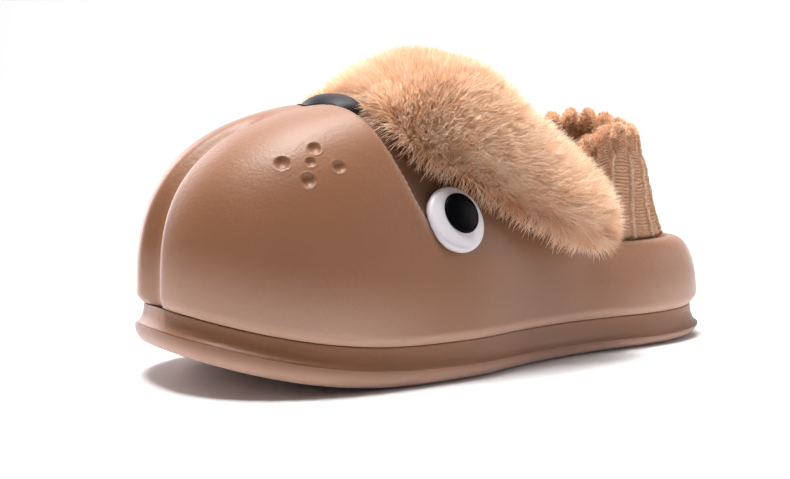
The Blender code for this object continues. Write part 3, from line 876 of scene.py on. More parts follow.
def make_shell(foam):
    """The foam upper: a hollow wall with a lip groove, a brow, whisker pits and a rounded collar."""
    shares = spread(210, ((0.0, 0.03, 4.0), (0.19, 0.05, 3.8), (1.0, 0.06, 1.2)))
    grid, relief = shell_grid(shares, spread(126, ((0.40, 0.10, 3.2), (0.85, 0.12, 0.8), (1.0, 0.04, 2.5))))
    normals = grid_normals(grid)
    level = normals.copy()
    level[..., 2] *= ease((grid[..., 2:3] - notch_height(grid[..., 1:2]) - 0.002) / ROLL_HEIGHT)[..., 0]
    outer = grid + level * relief[..., None]
    outer = flatten_seats(outer, normals)
    pitted = outer - normals * pit_relief(outer, normals)[..., None]
    inner = grid + level * relief[..., None] - normals * WALL
    low, high = len(ROLL_ROWS), len(grid) - 1
    edge_normal = normals[high]
    rise = outer[high] - outer[high - 3]
    rise /= np.linalg.norm(rise, axis=1)[:, None]
    middle = (outer[high] + inner[high]) / 2
    rim = []
    for angle in RIM_ANGLES:
        rim.append(middle + edge_normal * math.cos(angle) * WALL / 2 + rise * math.sin(angle) * WALL * 0.4)
    under = [inner[row] for row in range(high, low, -4)]
    foot = ring(plan_loop(shares), NOTCH_INSET + WALL, notch_height)
    foot[:, 2] += SEAM_GAP
    rings = list(pitted) + rim + under + [foot]
    points = np.vstack(rings)
    faces = grid_faces(len(rings), len(foot), round_rows=True)
    # The shell's low sides also take the painted floor light
    item = tag_painted_floor_light(solid("shell_foam", points, faces, foam), 0.75)
    # Painted shade: stores the hollow behind the muzzle, where the foam is painted darker
    tag(item, "hollow", brow_share(points[:, 1], points[:, 2]))
    return settle(item, ["upper"])


def footbed_height(points):
    """The footbed's top: its thickness over the notch, cupped at the heel and raised at the arch."""
    x, y = points[:, 0], points[:, 1]
    support = ARCH_SUPPORT * arch(y) * ease((-x - HEEL_WIDTH / 8) / (HEEL_WIDTH / 4))
    cup = HEEL_CUP * ease((y - HEEL) / HEEL_ROUND + 1) * (1 - (x / (HEEL_WIDTH / 2)) ** 2).clip(0)
    return notch_height(y) + SEAM_GAP + INSOLE_THICKNESS + support - cup


def make_footbed(plush):
    """The footbed cushion."""
    plan = plan_loop(spread(130, ((0.0, 0.05, 1.5), (1.0, 0.05, 1.5))))
    edge = NOTCH_INSET + WALL + INSOLE_GAP
    rows = [(0, 0, 1), (0, 0.4, 1), (0.05, 0.7, 1), (0.3, 0.9, 1), (1, 1, 1)]
    rows += [(1, 1, share) for share in (0.97, 0.93, 0.86, 0.78, 0.68, 0.57, 0.45, 0.32, 0.2, 0.1)]
    rings = []
    for inset, level, share in rows:
        points = ring(plan, edge + inset * INSOLE_EDGE, notch_height)
        base = points[:, 2] + SEAM_GAP
        points[:, :2] *= (share, 1 - 0.1 * (1 - share))
        points[:, 2] = base + (footbed_height(points) - base) * level
        points[:, 2] -= level * 0.0003 * (1 + ripple(points, 0.03, 3))
        rings.append(points)
    item = solid("footbed_plush", np.vstack(rings), stack_faces(rings), plush)
    settle(item, ["insole"])
    return item


def make_lining(plush):
    """The plush that lines the shell's wall, from above the footbed to just inside the collar."""
    grid, relief = shell_grid(spread(110, ((0.0, 0.05, 2.0),)), np.linspace(0, 1, 49))
    normals = grid_normals(grid)
    face = grid + normals * (relief - WALL - LINING_GAP)[..., None]
    back = face - normals * LINING_THICKNESS
    back -= normals * (0.0003 * ripple(back, 0.006, 8))[..., None]
    rows = range(14, 52, 2)
    rings = [face[row] for row in rows] + [back[row] for row in reversed(rows)]
    faces = grid_faces(len(rings), len(rings[0]), round_rows=True)
    item = settle(solid("lining_plush", np.vstack(rings), faces, plush))
    return item


def cuff_lines(shares):
    """The cuff's bottom and top lines, from its outer front end round the heel to its inner one."""
    angle = math.radians(CUFF_REACH) * (1 - 2 * shares)
    across, along = oval(angle)
    clear = CUFF_BULGE + RIB_HEIGHT + SEAM_GAP
    low = np.column_stack([
        (COLLAR_WIDTH / 2 - clear - WALL) * across,
        collar_back() - COLLAR_LENGTH / 2 + (COLLAR_LENGTH / 2 - clear) * along,
        np.full(len(shares), RIM_TOP - CUFF_TUCK),
    ])
    depth = np.where(np.cos(angle) < 0, CUFF_FRONT_DEPTH, CUFF_TOP_DEPTH)
    front = ease((np.abs(angle) - math.radians(80)) / math.radians(40))
    fall = CUFF_SLANT * np.where(np.cos(angle) > 0, np.sin(2 * angle), 0) + CUFF_DROP * front
    high = np.column_stack([
        CUFF_TOP_WIDTH / 2 * np.sin(angle),
        collar_back() - CUFF_LEAN - CUFF_TOP_DEPTH + depth * np.cos(angle),
        RIM_TOP + CUFF_HEIGHT + CUFF_RISE * np.cos(angle) - fall,
    ])
    return low, high


def cuff_wall(shares, levels):
    """The cuff's middle sheet, its outward direction, and how near each point is to a fold."""
    low, high = cuff_lines(shares)
    cell = ((shares * CUFF_RIBS + RIB_SHIFT + 0.5) % 1 - 0.5) * 2
    puff = np.sin(math.pi / 2 * np.abs(cell)) ** 0.6
    grid, outward = [], []
    for level in levels:
        points = low + (high - low) * level
        points[:, 2] += (0.0085 * (puff - 0.80) - CUFF_SINK) * ease((level - 0.72) / 0.28)
        way = np.cross(np.gradient(points, axis=0), (0, 0, 1))
        way[:, 2] = 0
        way /= np.linalg.norm(way, axis=1)[:, None]
        grid.append(points)
        outward.append(way)
    return np.array(grid), np.array(outward), cell, puff


def make_cuff(cloth):
    """The cuff: gathered cloth between raised folds, with puffed tops and a thick rolled edge."""
    shares = np.linspace(0, 1, CUFF_RIBS * 18 + 1)
    levels = spread(186)
    grid, outward, cell, puff = cuff_wall(shares, levels)
    level = levels[:, None]
    near = np.clip(np.abs(cell[None, :] + FOLD_WANDER * np.sin(level * 9)), 0, 1)
    fold = np.exp(-((near / FOLD_WIDTH) ** 2))
    phase = 0.5 * np.sin(shares[None, :] * 83) + 1.3 * ripple(grid, 0.011, 5)
    gathers = np.sin(level * 2 * math.pi * GATHERS + phase)
    gathers = gathers * ease((near - FOLD_WIDTH) / 0.3) * ease((level - 0.24) / 0.06)
    gathers = gathers * np.clip(0.75 + 0.45 * ripple(grid, 0.004, 9), 0.1, 1.2)
    top = ease((level - 0.84) / 0.16)
    out = CUFF_BULGE * np.sin(math.pi * level) + RIB_HEIGHT * fold * ease((1.02 - level) / 0.15)
    out = out + GATHER_DEPTH * gathers * (1 - 0.7 * top) + 0.0009 * puff[None, :] * (1 - top)
    out = out + top * (0.0062 * puff[None, :] - 0.0042) + 0.00025 * ripple(grid, 0.005, 6)
    hem = 0.0008 * np.exp(-(((level - HEM_LEVEL - 0.022) / 0.018) ** 2))
    hem = hem + 0.0024 * np.exp(-(((level - 0.22) / 0.13) ** 2))
    out = out + hem - 0.0022 * ease((HEM_LEVEL - level) / 0.016)
    face = grid + outward * out[..., None]
    inner_out = CUFF_BULGE * np.sin(math.pi * level) - CUFF_THICKNESS - 0.0012 * top
    back = grid + outward * (inner_out + 0.0004 * ripple(grid, 0.006, 7))[..., None]
    middle, reach, roll = (face[-1] + back[-1]) / 2, (face[-1] - back[-1]) / 2, np.array((0, 0, CUFF_ROLL))
    rim = [middle + reach * math.cos(angle) + roll * math.sin(angle) for angle in RIM_ANGLES]
    thin = list(range(len(levels) - 1, -1, -6))
    stack = np.array(list(face) + rim + [back[row] for row in thin])
    count, columns = stack.shape[:2]
    faces = grid_faces(count, columns, round_columns=False, round_rows=True)
    start = np.arange(count) * columns
    faces += [start.tolist()[::-1], (start + columns - 1).tolist()]
    item = solid("cuff_cloth", stack, faces, cloth)

    def layers(outer, edge, inner):
        """One number for each point, given for the outer rows, the rim and the inner rows."""
        parts = ((outer, len(levels)), (edge, len(rim)), (inner, len(thin)))
        return np.vstack([np.broadcast_to(part, (size, columns)) for part, size in parts]).ravel()

    tuft = np.clip(0.06 + 1.2 * fold + ease((level - 0.80) / 0.15), 0, 1)
    ridges = (fold > 0.5) & (level < RIDGE_END)
    tag(item, "fold", layers(fold, np.maximum(fold[-1:], 0.5), 0.15 * fold[thin]))
    # Painted shade: where the gathers sink in, the cloth is painted darker
    tag(item, "crest", layers(0.5 + 0.5 * gathers, 0.5, 0.5))
    tag(item, "cover", layers(tuft * ease((level - HEM_LEVEL) / 0.02), 1.0, ease((level[thin] - 0.35) / 0.2)))
    tag(item, "reach", layers(0.36, 0.50, 1.6))
    fall = layers(-0.2, 0.5, 0.5)
    tag(item, "flow", np.column_stack([np.zeros((len(fall), 2)), fall]))
    tag(item, "place", layers(np.where(ridges, 0.25, 0.75), 0.75, 0.75))
    settle(item, ["heel_cuff"])
    return item


def face_axes(facing):
    """Two directions in a button's plane: across the face and up it."""
    across = Vector((0, 1, 0)) if abs(facing.y) < 0.5 else Vector((1, 0, 0))
    up = across.cross(facing).normalized()
    return facing.cross(up).normalized(), up


def bed(tree, centre, facing, point, near=BED_REACH):
    """How high the surface stands under a point, and close round it, above the plane through the centre."""
    across, up = face_axes(facing)
    steps = (-near, 0.0, near)
    spots = [point + across * a + up * b for a in steps for b in steps]
    return max((drop(tree, spot, facing) - centre).dot(facing) for spot in spots)


def eye_facing(side):
    """The way an eye looks: outward, a little up and back."""
    return Vector((side, math.tan(math.radians(EYE_TURN)), math.tan(math.radians(EYE_TILT)))).normalized()


def eye_place(tree, side):
    """The middle of an eye on the shell, and the way it faces."""
    level = Vector((0, TOE + EYE_ALONG * LENGTH, EYE_HEIGHT))
    return drop(tree, level, Vector((side, 0, 0))), eye_facing(side)


def eye_lift(point, out, eye):
    """How far the plush has to rise at a point to lie over an eye's rim."""
    centre, facing = eye
    away = Vector(point) - centre
    height = away.dot(facing)
    beyond = (away - facing * height).length - EYE_RADIUS
    need = EYE_THICKNESS + EYE_CROWN + 2 * SEAM_GAP - height
    if need <= 0 or height < -EYE_RADIUS:
        return 0.0
    return need * float(ease(1.4 - beyond / EYE_MARGIN)) / max(Vector(out).dot(facing), 0.5)


def pile_swell(share):
    """The pile's depth from the front edge (0) over its crest to the rear edge (1)."""
    if share < PILE_CREST:
        return math.sin(math.pi / 2 * share / PILE_CREST) ** 0.9
    return math.sqrt(1 - ((share - PILE_CREST) / (1 - PILE_CREST)) ** 2.2)


def make_pad(tree, backing, nap):
    """The padded band over the instep and its two ears, which carries the pile."""
    eyes = [eye_place(tree, side) for side in (1, -1)]
    last = FUR_BAND[-1][0] - EAR_END
    half, rows = PAD_HALF, PAD_ROWS
    unders, overs = [], []
    for column in range(-half, half + 1):
        turn = last * (1 - (1 - abs(column) / half) ** 1.15)
        front, rear, reach, pile = through(FUR_BAND, turn)
        angle = math.radians(turn) * (1 if column > 0 else -1)
        out = np.array((math.sin(angle), 0.0, math.cos(angle)))
        under, over = [], []
        wide = (rear - front) * LENGTH
        low, high = min(EAR_FRONT / wide, 0.30), 1 - min(EAR_REAR / wide, 0.15)
        for share in np.linspace(low, high, rows + 1):
            axis = np.array((0.0, TOE + (front + (rear - front) * share) * LENGTH, FUR_AXIS))
            radius = reach * BALL_WIDTH / 2
            for nearby in (-FUR_REACH, 0.0, FUR_REACH):
                hit = drop(tree, axis + np.array((0.0, nearby, 0.0)), out)
                if hit is not None:
                    radius = max(radius, float(np.array(hit - Vector(axis)) @ out) + FUR_GAP)
            radius += max(eye_lift(axis + out * radius, out, eye) for eye in eyes)
            depth = PILE_EDGE + PILE * pile * pile_swell(share)
            under.append(axis + out * radius)
            over.append(under[-1] + out * max(depth - nap, 0.45 * depth))
        unders.append(under)
        overs.append(over)
    unders, overs = np.array(unders), np.array(overs)
    columns, count = len(overs), rows + 1
    along = np.gradient(overs, axis=0)
    along /= np.linalg.norm(along, axis=2)[..., None]
    back = np.gradient(overs, axis=1)
    back /= np.linalg.norm(back, axis=2)[..., None]
    side = np.linspace(-1, 1, columns)[:, None, None]
    share = np.linspace(0, 1, count)[None, :, None]
    aside = 2 * share - 1
    splay = 0.55 * np.sign(aside) * ease((np.abs(aside) - 0.4) / 0.6)
    outward = back * (0.08 + 0.42 * aside + splay)
    down = 0.10 + 0.22 * ease(np.abs(side) / 0.3) + 0.55 * ease((np.abs(side) - 0.90) / 0.10)
    flow = along * np.sign(side) * down + outward
    reach = (0.72 + 0.28 * ease(share[..., 0] / 0.25)) * (1 - 0.2 * ease((np.abs(side[..., 0]) - 0.8) / 0.2))
    stack = np.concatenate([overs, unders[:, ::-1]], axis=1)
    faces = grid_faces(columns, 2 * count)
    for column, flip in ((0, True), (columns - 1, False)):
        start = column * 2 * count
        for k in range(rows):
            rung = [start + k, start + k + 1, start + 2 * count - 2 - k, start + 2 * count - 1 - k]
            faces.append(rung[::-1] if flip else rung)
    item = solid("ear_pad", stack, faces, backing)
    zero = np.zeros((columns, count))
    tag(item, "cover", np.concatenate([zero + 1, zero], axis=1).ravel())
    tag(item, "place", np.repeat(np.linspace(0, 1, columns), 2 * count))
    tag(item, "flow", np.concatenate([flow, flow * 0], axis=1).reshape(-1, 3))
    tag(item, "reach", np.concatenate([reach, zero + 1], axis=1).ravel())
    settle(item, ["fur_ears"])
    return item


# Hair, laid by a node tree


def add_strand():
    """One hair of unit length: a narrow strip that tapers and bends over to one side."""
    rows = [(0.0, 0.50, 0.00), (0.38, 0.47, 0.02), (0.74, 0.34, 0.08)]
    points = [(bend, side * half, height) for height, half, bend in rows for side in (-1, 1)]
    points.append((0.17, 0.0, 1.0))
    data = bpy.data.meshes.new("strand")
    data.from_pydata(points, [], [(0, 1, 3, 2), (2, 3, 5, 4), (4, 5, 6)])
    data.shade_smooth()
    item = bpy.data.objects.new("strand", data)
    bpy.context.scene.collection.objects.link(item)
    tag(item, "along", [point[2] for point in points])
    return item


class HairTree(Tree):
    """The node tree that plants hairs on a piece, in clumps that lean with the flow."""

    SIZES = ("Density", "Length", "Width", "Uneven", "Lean", "Pull", "Clumps", "Wild", "From", "To")
    INPUTS = [(name, "Float") for name in SIZES]
    INPUTS += [("Seed", "Int"), ("Strand", "Object"), ("Finish", "Material")]

    def __init__(self):
        self.group = bpy.data.node_groups.new("plant hairs", "GeometryNodeTree")
        super().__init__(self.group.nodes)
        face = self.group.interface
        face.new_socket("Geometry", in_out="OUTPUT", socket_type="NodeSocketGeometry")
        face.new_socket("Geometry", in_out="INPUT", socket_type="NodeSocketGeometry")
        self.names = {}
        for name, kind in self.INPUTS:
            socket = face.new_socket(name, in_out="INPUT", socket_type="NodeSocket" + kind)
            self.names[name] = socket.identifier
        given = self.nodes.new("NodeGroupInput").outputs
        self.given = {name: Value(given[name]) for name in ("Geometry", *self.names)}
        join(self.nodes.new("NodeGroupOutput").inputs[0], self.build())

    def vector(self, operation, first, second):
        key = "Scale" if operation == "SCALE" else 1
        return self.node("ShaderNodeVectorMath", {"operation": operation}, {0: first, key: second})

    def read(self, name, kind="FLOAT"):
        return self.node("GeometryNodeInputNamedAttribute", {"data_type": kind}, {"Name": name}, "Attribute")

    def chance(self, low, high, seed, **by):
        """A random number for each hair, or for each value of ID."""
        inputs = {2: low, 3: high, "Seed": seed, **by}
        return self.node("FunctionNodeRandomValue", {"data_type": "FLOAT"}, inputs, 1)

    def scatter(self, density, seed):
        """Random points on the piece."""
        inputs = {"Mesh": self.given["Geometry"], "Density": density, "Seed": seed}
        settings = {"distribute_method": "RANDOM"}
        return self.node("GeometryNodeDistributePointsOnFaces", settings, inputs, "Points")

    def way(self, roots, centre, position, stray):
        """The way each hair points: off the surface, with the flow, towards its clump and a little astray."""
        given = self.given
        pull = given["Pull"].work("DIVIDE", given["Pull"], given["Length"])
        pull = self.vector("SCALE", self.vector("SUBTRACT", centre, position), pull)
        lean = self.vector("SCALE", self.read("flow", "FLOAT_VECTOR"), given["Lean"])
        upright = Value(roots.socket.node.outputs["Normal"])
        stray = self.vector("SCALE", stray, given["Wild"])
        return self.vector("ADD", self.vector("ADD", upright, lean), self.vector("ADD", pull, stray))

    def build(self):
        """Lays the nodes and returns the hairs as one mesh."""
        given, place = self.given, self.read("place")
        inside = place.work("GREATER_THAN", place, given["From"])
        inside = inside * place.work("LESS_THAN", place, given["To"])
        roots = self.scatter(given["Density"] * (self.read("cover") * inside), given["Seed"])
        clumps = self.scatter(given["Clumps"], given["Seed"] + 1)
        position = self.node("GeometryNodeInputPosition", {}, {})
        nearest = self.node("GeometryNodeSampleNearest", {"domain": "POINT"}, {"Geometry": clumps})
        settings = {"data_type": "FLOAT_VECTOR", "domain": "POINT"}
        inputs = {"Geometry": clumps, "Value": position, "Index": nearest}
        centre = self.node("GeometryNodeSampleIndex", settings, inputs)
        inputs = {0: (-1, -1, -1), 1: (1, 1, 1), "Seed": 5}
        stray = self.node("FunctionNodeRandomValue", {"data_type": "FLOAT_VECTOR"}, inputs)
        way = self.way(roots, centre, position, stray)
        stand = self.node("FunctionNodeAlignRotationToVector", {"axis": "Z"}, {"Vector": way})
        twist = self.vector("ADD", self.read("flow", "FLOAT_VECTOR"), self.vector("SCALE", stray, 0.8))
        inputs = {"Rotation": stand, "Vector": twist}
        turned = self.node("FunctionNodeAlignRotationToVector", {"axis": "X", "pivot_axis": "Z"}, inputs)
        size = self.chance(1.0 - given["Uneven"], 1.0 + given["Uneven"], 9)
        length = given["Length"] * self.read("reach") * size
        strand = self.node(
            "GeometryNodeObjectInfo", {"transform_space": "ORIGINAL"}, {"Object": given["Strand"]}, "Geometry"
        )
        scale = self.node("ShaderNodeCombineXYZ", {}, {0: length, 1: given["Width"], 2: length})
        inputs = {"Points": roots, "Instance": strand, "Rotation": turned, "Scale": scale}
        planted = self.node("GeometryNodeInstanceOnPoints", {}, inputs)
        tone = self.chance(0.0, 1.0, 3, ID=nearest) * 0.55 + self.chance(0.0, 1.0, 4) * 0.45
        settings = {"data_type": "FLOAT", "domain": "INSTANCE"}
        inputs = {"Geometry": planted, "Name": "tone", "Value": tone}
        shaded = self.node("GeometryNodeStoreNamedAttribute", settings, inputs)
        real = self.node("GeometryNodeRealizeInstances", {}, {"Geometry": shaded})
        return self.node("GeometryNodeSetMaterial", {}, {"Geometry": real, "Material": given["Finish"]})

    def plant(self, name, base, slot, **inputs):
        """Plants hairs on a piece and returns them as a mesh piece of their own."""
        carrier = bpy.data.objects.new("carrier", base.data.copy())
        bpy.context.scene.collection.objects.link(carrier)
        hairs = carrier.modifiers.new("hairs", "NODES")
        hairs.node_group = self.group
        for key, value in inputs.items():
            hairs[self.names[key]] = value
        bpy.context.view_layer.update()
        graph = bpy.context.evaluated_depsgraph_get()
        data = bpy.data.meshes.new_from_object(carrier.evaluated_get(graph), depsgraph=graph)
        data.name = name
        item = bpy.data.objects.new(name, data)
        bpy.context.scene.collection.objects.link(item)
        bpy.data.objects.remove(carrier, do_unlink=True)
        return settle(item)


def plant_all(jobs, finish, slot):
    """Plants several groups of hairs, each given as a name, the piece it grows on and its sizes."""
    tree = HairTree()
    strand = add_strand()
    for name, base, sizes in jobs:
        tree.plant(name, base, slot, Strand=strand, Finish=finish, **sizes)
    bpy.data.objects.remove(strand, do_unlink=True)


# Buttons


def button(name, seat, centre, facing, radii, front, material):
    """A round piece on a seat. Front gives each ring's share of the radius and its height, middle first."""
    across, up = face_axes(facing)
    angles = [2 * math.pi * k / BUTTON_SPOKES for k in range(BUTTON_SPOKES)]

    def flat(share, angle):
        return across * (radii[0] * share * math.cos(angle)) + up * (radii[1] * share * math.sin(angle))

    def seats(share):
        return [seat(centre + flat(share, angle)) + SEAM_GAP for angle in angles]

    def at(share, heights):
        return [centre + flat(share, angle) + facing * height for angle, height in zip(angles, heights)]

    rim_seat = seats(1.0)
    rings = []
    for share, height in front[1:]:
        rings.append(at(share, [max(height, low) if share > RIM_START else height for low in rim_seat]))
    rings.append(at(1.0, [max(front[-1][1] - RIM_DROP, low) for low in rim_seat]))
    rings.append(at(RIM_TUCK, rim_seat))
    for share in (0.75, 0.4, 0.12):
        rings.append(at(share, seats(share)))
    points = [tuple(point) for row in rings for point in row]
    points.append(tuple(centre + facing * front[0][1]))
    points.append(tuple(centre + facing * (seat(centre) + SEAM_GAP)))
    faces = grid_faces(len(rings), BUTTON_SPOKES)
    last = (len(rings) - 1) * BUTTON_SPOKES
    for k in range(BUTTON_SPOKES):
        j = (k + 1) % BUTTON_SPOKES
        faces.append((len(points) - 2, j, k))
        faces.append((len(points) - 1, last + k, last + j))
    return solid(name, points, faces, material)


def dome_rows(base, crown, rim, soft=0.12):
    """Heights of a dome from its middle out, with its rim rounded over."""
    rows = []
    for share in DOME_ROWS:
        over = clamp((share - 1 + soft) / soft)
        rows.append((share, base + crown * math.sqrt(1 - share**2) - rim * (1 - math.sqrt(1 - over**2))))
    return rows


def make_eye(tree, name, side, white, black):
    """A satin white disc against the side of the head, with its glossy pupil set up and back on it."""
    centre, facing = eye_place(tree, side)
    across, up = face_axes(facing)

    def head(point):
        return bed(tree, centre, facing, point, EYE_BED)

    def dome(point):
        away = (point - centre - facing * (point - centre).dot(facing)).length / EYE_RADIUS
        return EYE_THICKNESS + EYE_CROWN * math.sqrt(clamp(1 - away**2))

    rows = dome_rows(EYE_THICKNESS, EYE_CROWN, 0.0011)
    ball = button("eye_white_" + name + "_disc", head, centre, facing, (EYE_RADIUS, EYE_RADIUS), rows, white)
    settle(ball, ["eye_white_" + name])
    middle = centre + across * math.copysign(PUPIL_BACK, across.y) + up * math.copysign(PUPIL_UP, up.z)
    rows = dome_rows(dome(middle) + PUPIL_THICKNESS, PUPIL_CROWN, 0.0006, 0.16)
    ball = button("pupil_" + name + "_dome", dome, middle, facing, (PUPIL_RADIUS, PUPIL_RADIUS), rows, black)
    settle(ball, ["pupil_" + name])


def make_nose(tree, shine):
    """The oval nose, bedded in the hollow behind the muzzle."""
    up = Vector((0, 0, 1))
    centre = drop(tree, Vector((0, TOE + NOSE_ALONG * LENGTH, 0)), up) + up * NOSE_SEAT

    def head(point):
        return bed(tree, centre, up, point)

    rows = dome_rows(0.0, NOSE_CROWN, 0.0)
    ball = button("nose_dome", head, centre, up, (NOSE_DEPTH / 2, NOSE_WIDTH / 2), rows, shine)
    settle(ball, ["nose"])


# Stage


def add_lamp(name, place, target, size, power, colour, beam):
    data = bpy.data.lights.new(name, "AREA")
    data.spread = math.radians(beam)
    data.shape = "RECTANGLE"
    data.size, data.size_y = size
    data.energy = power
    data.color = colour
    lamp = bpy.data.objects.new(name, data)
    lamp.location = place
    lamp.rotation_euler = (Vector(target) - Vector(place)).to_track_quat("-Z", "Y").to_euler()
    bpy.context.scene.collection.objects.link(lamp)


def floor_finish():
    """Plain pale paper."""
    paper = Finish("pale paper", Specular_IOR_Level=0.1)
    paper.colour(paper.mix(paper.noise(30.0, 3.0), (0.74, 0.735, 0.75), (0.76, 0.755, 0.77)))
    paper.rough(0.85 + 0.05 * paper.noise(400.0))
    return paper.material


def add_sweep():
    """The pale floor, which curves up behind the slipper."""
    rows = [(-3.5, 0.0), (-1.0, 0.0), (0.0, 0.0), (1.0, 0.0)]
    for k in range(41):
        angle = math.pi / 2 * k / 40
        rows.append((2.6 + 1.2 * math.sin(angle), 1.2 - 1.2 * math.cos(angle)))
    rows.append((3.8, 5.0))
    away = Vector((-math.sin(math.radians(CAMERA_TURN)), math.cos(math.radians(CAMERA_TURN)), 0))
    side = Vector((away.y, -away.x, 0))
    points = []
    for along, height in rows:
        for across in (-6.0, 6.0):
            points.append(tuple(away * along + side * across + Vector((0, 0, height - 0.0002))))
    data = bpy.data.meshes.new("paper_sweep")
    data.from_pydata(points, [], [(2 * k, 2 * k + 1, 2 * k + 3, 2 * k + 2) for k in range(len(rows) - 1)])
    data.shade_smooth()
    data.materials.append(floor_finish())
    sweep = bpy.data.objects.new("paper_sweep", data)
    bpy.context.scene.collection.objects.link(sweep)


def make_stage():
    """The floor, the sky's soft light, the lamps and the camera."""
    scene = bpy.context.scene
    add_sweep()
    scene.world = bpy.data.worlds.new("studio")
    scene.world.use_nodes = True
    sky = scene.world.node_tree.nodes["Background"]
    sky.inputs["Color"].default_value = (1.0, 1.0, 1.0, 1.0)
    sky.inputs["Strength"].default_value = SKY
    for lamp in LAMPS:
        add_lamp(*lamp)
    scene.view_settings.view_transform = "Standard"

    data = bpy.data.cameras.new("camera")
    data.lens = CAMERA_LENS
    data.sensor_width = 36.0
    data.clip_start = 0.01
    camera = bpy.data.objects.new("camera", data)
    camera.location = CAMERA_PLACE
    camera.rotation_euler = (math.radians(90 - CAMERA_TILT), 0, math.radians(CAMERA_TURN))
    scene.collection.objects.link(camera)
    scene.camera = camera


# Settings, operators and panel


def length_setting(name, description, default):
    return bpy.props.FloatProperty(name=name, description=description, default=default, unit="LENGTH")


def colour_setting(name, description, default):
    return bpy.props.FloatVectorProperty(
        name=name, description=description, default=default, subtype="COLOR", size=3
    )


class SlipperSizes(bpy.types.PropertyGroup):
    """Sizes of the soft goods."""

    pile_length: length_setting("Pile length", "Length of the hairs on the ears", 0.0098)
    pile_sink: length_setting("Pile sink", "How far the pad lies below the tips", 0.0066)
    pile_density: bpy.props.FloatProperty(
        name="Pile density", description="Hairs per square metre of the ears", default=7.6e6
    )
    nap_length: length_setting("Nap length", "Length of the hairs on the cuff", 0.0030)
    grain_depth: length_setting("Grain depth", "Depth of the foam's pebbled skin", 0.00012)


class SlipperColours(bpy.types.PropertyGroup):
    """Colours of the finishes."""

    foam: colour_setting("Foam", "Lighter tone of the foam", (0.262, 0.111, 0.050))
    foam_dark: colour_setting("Foam, dark", "Darker tone of the foam", (0.232, 0.096, 0.042))
    # Painted reflection of the lit floor, used on the foam's low and downward faces
    foam_painted_floor_light: colour_setting("Foam, under", "Foam where it turns under", (0.50, 0.305, 0.225))
    tip: colour_setting("Pile tip", "Tips of the hairs", (0.98, 0.83, 0.68))
    middle: colour_setting("Pile middle", "Middle of the hairs", (0.97, 0.70, 0.47))
    root: colour_setting("Pile root", "Roots of the hairs", (0.76, 0.45, 0.27))


def foam_of(context):
    """The foam's finish, made once and shared by the sole and the shell."""
    colours, sizes = context.scene.slipper_colours, context.scene.slipper_sizes
    tones = [tuple(tone) for tone in (colours.foam, colours.foam_dark, colours.foam_painted_floor_light)]
    return bpy.data.materials.get("satin foam") or foam_finish("satin foam", *tones, sizes.grain_depth)


class SLIPPER_OT_sole(bpy.types.Operator):
    """Make the two foam layers of the sole"""

    bl_idname = "slipper.sole"
    bl_label = "Sole"

    def execute(self, context):
        make_bottom(foam_of(context))
        make_band(foam_of(context))
        return {"FINISHED"}


class SLIPPER_OT_shell(bpy.types.Operator):
    """Make the foam shell with its lip, brow and whisker pits"""

    bl_idname = "slipper.shell"
    bl_label = "Shell"

    def execute(self, context):
        make_shell(foam_of(context))
        return {"FINISHED"}


class SLIPPER_OT_inside(bpy.types.Operator):
    """Make the footbed and the lining"""

    bl_idname = "slipper.inside"
    bl_label = "Footbed and lining"

    def execute(self, context):
        plush = plush_finish("footbed nap", (0.50, 0.29, 0.17), (0.30, 0.15, 0.08), 900.0, 0.0008)
        make_footbed(plush)
        make_lining(plush)
        return {"FINISHED"}


class SLIPPER_OT_cuff(bpy.types.Operator):
    """Make the gathered cuff with the nap on its folds"""

    bl_idname = "slipper.cuff"
    bl_label = "Cuff"

    def execute(self, context):
        sizes = context.scene.slipper_sizes
        # The last colour is the painted shade in the troughs of the gathers
        cloth = cuff_finish("gathered plush", (0.74, 0.44, 0.28), (0.98, 0.78, 0.60), (0.44, 0.23, 0.13))
        cuff = make_cuff(cloth)
        nap = pile_finish("cuff nap", (0.58, 0.31, 0.17), (0.93, 0.62, 0.40), (0.98, 0.79, 0.60))
        pale = pile_finish("ridge nap", (0.86, 0.62, 0.44), (0.96, 0.80, 0.62), (0.99, 0.90, 0.78))
        job = {
            "Density": 3.9e6, "Length": sizes.nap_length, "Width": 0.00024, "Uneven": 0.35, "Lean": 0.5,
            "Pull": 0.5, "Clumps": 0.30e6, "Wild": 0.35, "From": 0.5, "To": 1.0, "Seed": 21,
        }
        plant_all([("cuff_nap", cuff, job)], nap, "ribbed plush")
        job = dict(job, Density=0.9e7, Length=0.75 * sizes.nap_length, From=0.0, To=0.5, Wild=1.1, Seed=22)
        plant_all([("cuff_ridges", cuff, job)], pale, "ribbed plush")
        return {"FINISHED"}


class SLIPPER_OT_plush(bpy.types.Operator):
    """Make the padded band and ears and plant their pile"""

    bl_idname = "slipper.plush"
    bl_label = "Plush"

    def execute(self, context):
        sizes, colours = context.scene.slipper_sizes, context.scene.slipper_colours
        root, middle, tip = tuple(colours.root), tuple(colours.middle), tuple(colours.tip)
        tree = surface_tree(bpy.data.objects["shell_foam"])
        pad = make_pad(tree, skin_finish("pile backing", middle, root), sizes.pile_sink)
        pile = pile_finish("plush pile", root, middle, tip)
        density = sizes.pile_density * 1.0
        width = 0.00030 * 1.0
        jobs = []
        cuts = [0.0, 0.2, 0.38, 0.62, 0.8, 1.0]
        names = ["right_ear_tip", "right_ear", "instep", "left_ear", "left_ear_tip"]
        for name, low, high in zip(names, cuts, cuts[1:]):
            job = {
                "Density": density, "Length": sizes.pile_length, "Width": width, "Uneven": 0.28, "Lean": 0.42,
                "Pull": 1.0, "Clumps": 0.16e6, "Wild": 0.32, "From": low - 1e-4, "To": high, "Seed": 7,
            }
            jobs.append((name + "_pile", pad, job))
        plant_all(jobs, pile, "tan plush")
        return {"FINISHED"}


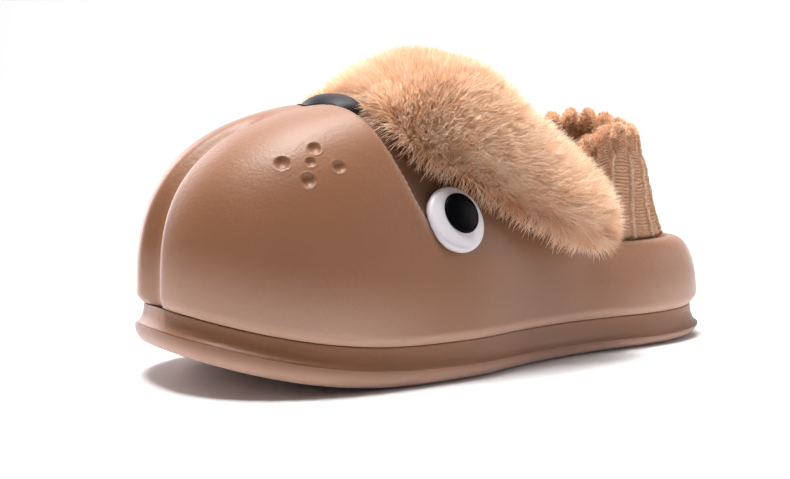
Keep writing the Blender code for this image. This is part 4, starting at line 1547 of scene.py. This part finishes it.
class SLIPPER_OT_face(bpy.types.Operator):
    """Make the eyes and the nose"""

    bl_idname = "slipper.face"
    bl_label = "Face"

    def execute(self, context):
        tree = surface_tree(bpy.data.objects["shell_foam"])
        white = gloss_finish("satin white", (0.62, 0.585, 0.62), 0.30)
        black = gloss_finish("gloss black", (0.001, 0.001, 0.0015), 0.24, level=0.03)
        make_eye(tree, "left", 1, white, black)
        make_eye(tree, "right", -1, white, black)
        make_nose(tree, gloss_finish("satin black", (0.014, 0.013, 0.017), 0.42, level=0.14))
        return {"FINISHED"}


class SLIPPER_OT_stage(bpy.types.Operator):
    """Make the floor, the lamps and the camera"""

    bl_idname = "slipper.stage"
    bl_label = "Stage"

    def execute(self, context):
        make_stage()
        return {"FINISHED"}


class SLIPPER_PT_panel(bpy.types.Panel):
    """The slipper's settings and its pieces"""

    bl_label = "Dog slipper"
    bl_idname = "SLIPPER_PT_panel"
    bl_space_type = "VIEW_3D"
    bl_region_type = "UI"
    bl_category = "Slipper"

    def draw(self, context):
        for group in (context.scene.slipper_sizes, context.scene.slipper_colours):
            for key in group.__annotations__:
                self.layout.prop(group, key)
        for operator in OPERATORS:
            self.layout.operator(operator.bl_idname)


OPERATORS = [
    SLIPPER_OT_sole,
    SLIPPER_OT_shell,
    SLIPPER_OT_inside,
    SLIPPER_OT_cuff,
    SLIPPER_OT_plush,
    SLIPPER_OT_face,
    SLIPPER_OT_stage,
]
CLASSES = [SlipperSizes, SlipperColours, *OPERATORS, SLIPPER_PT_panel]


def register():
    for item in CLASSES:
        bpy.utils.register_class(item)
    bpy.types.Scene.slipper_sizes = bpy.props.PointerProperty(type=SlipperSizes)
    bpy.types.Scene.slipper_colours = bpy.props.PointerProperty(type=SlipperColours)


def unregister():
    del bpy.types.Scene.slipper_colours
    del bpy.types.Scene.slipper_sizes
    for item in reversed(CLASSES):
        bpy.utils.unregister_class(item)


def main():
    register()
    bpy.ops.slipper.sole()
    bpy.ops.slipper.shell()
    bpy.ops.slipper.inside()
    bpy.ops.slipper.cuff()
    bpy.ops.slipper.plush()
    bpy.ops.slipper.face()
    bpy.ops.slipper.stage()


if __name__ == "__main__":
    main()
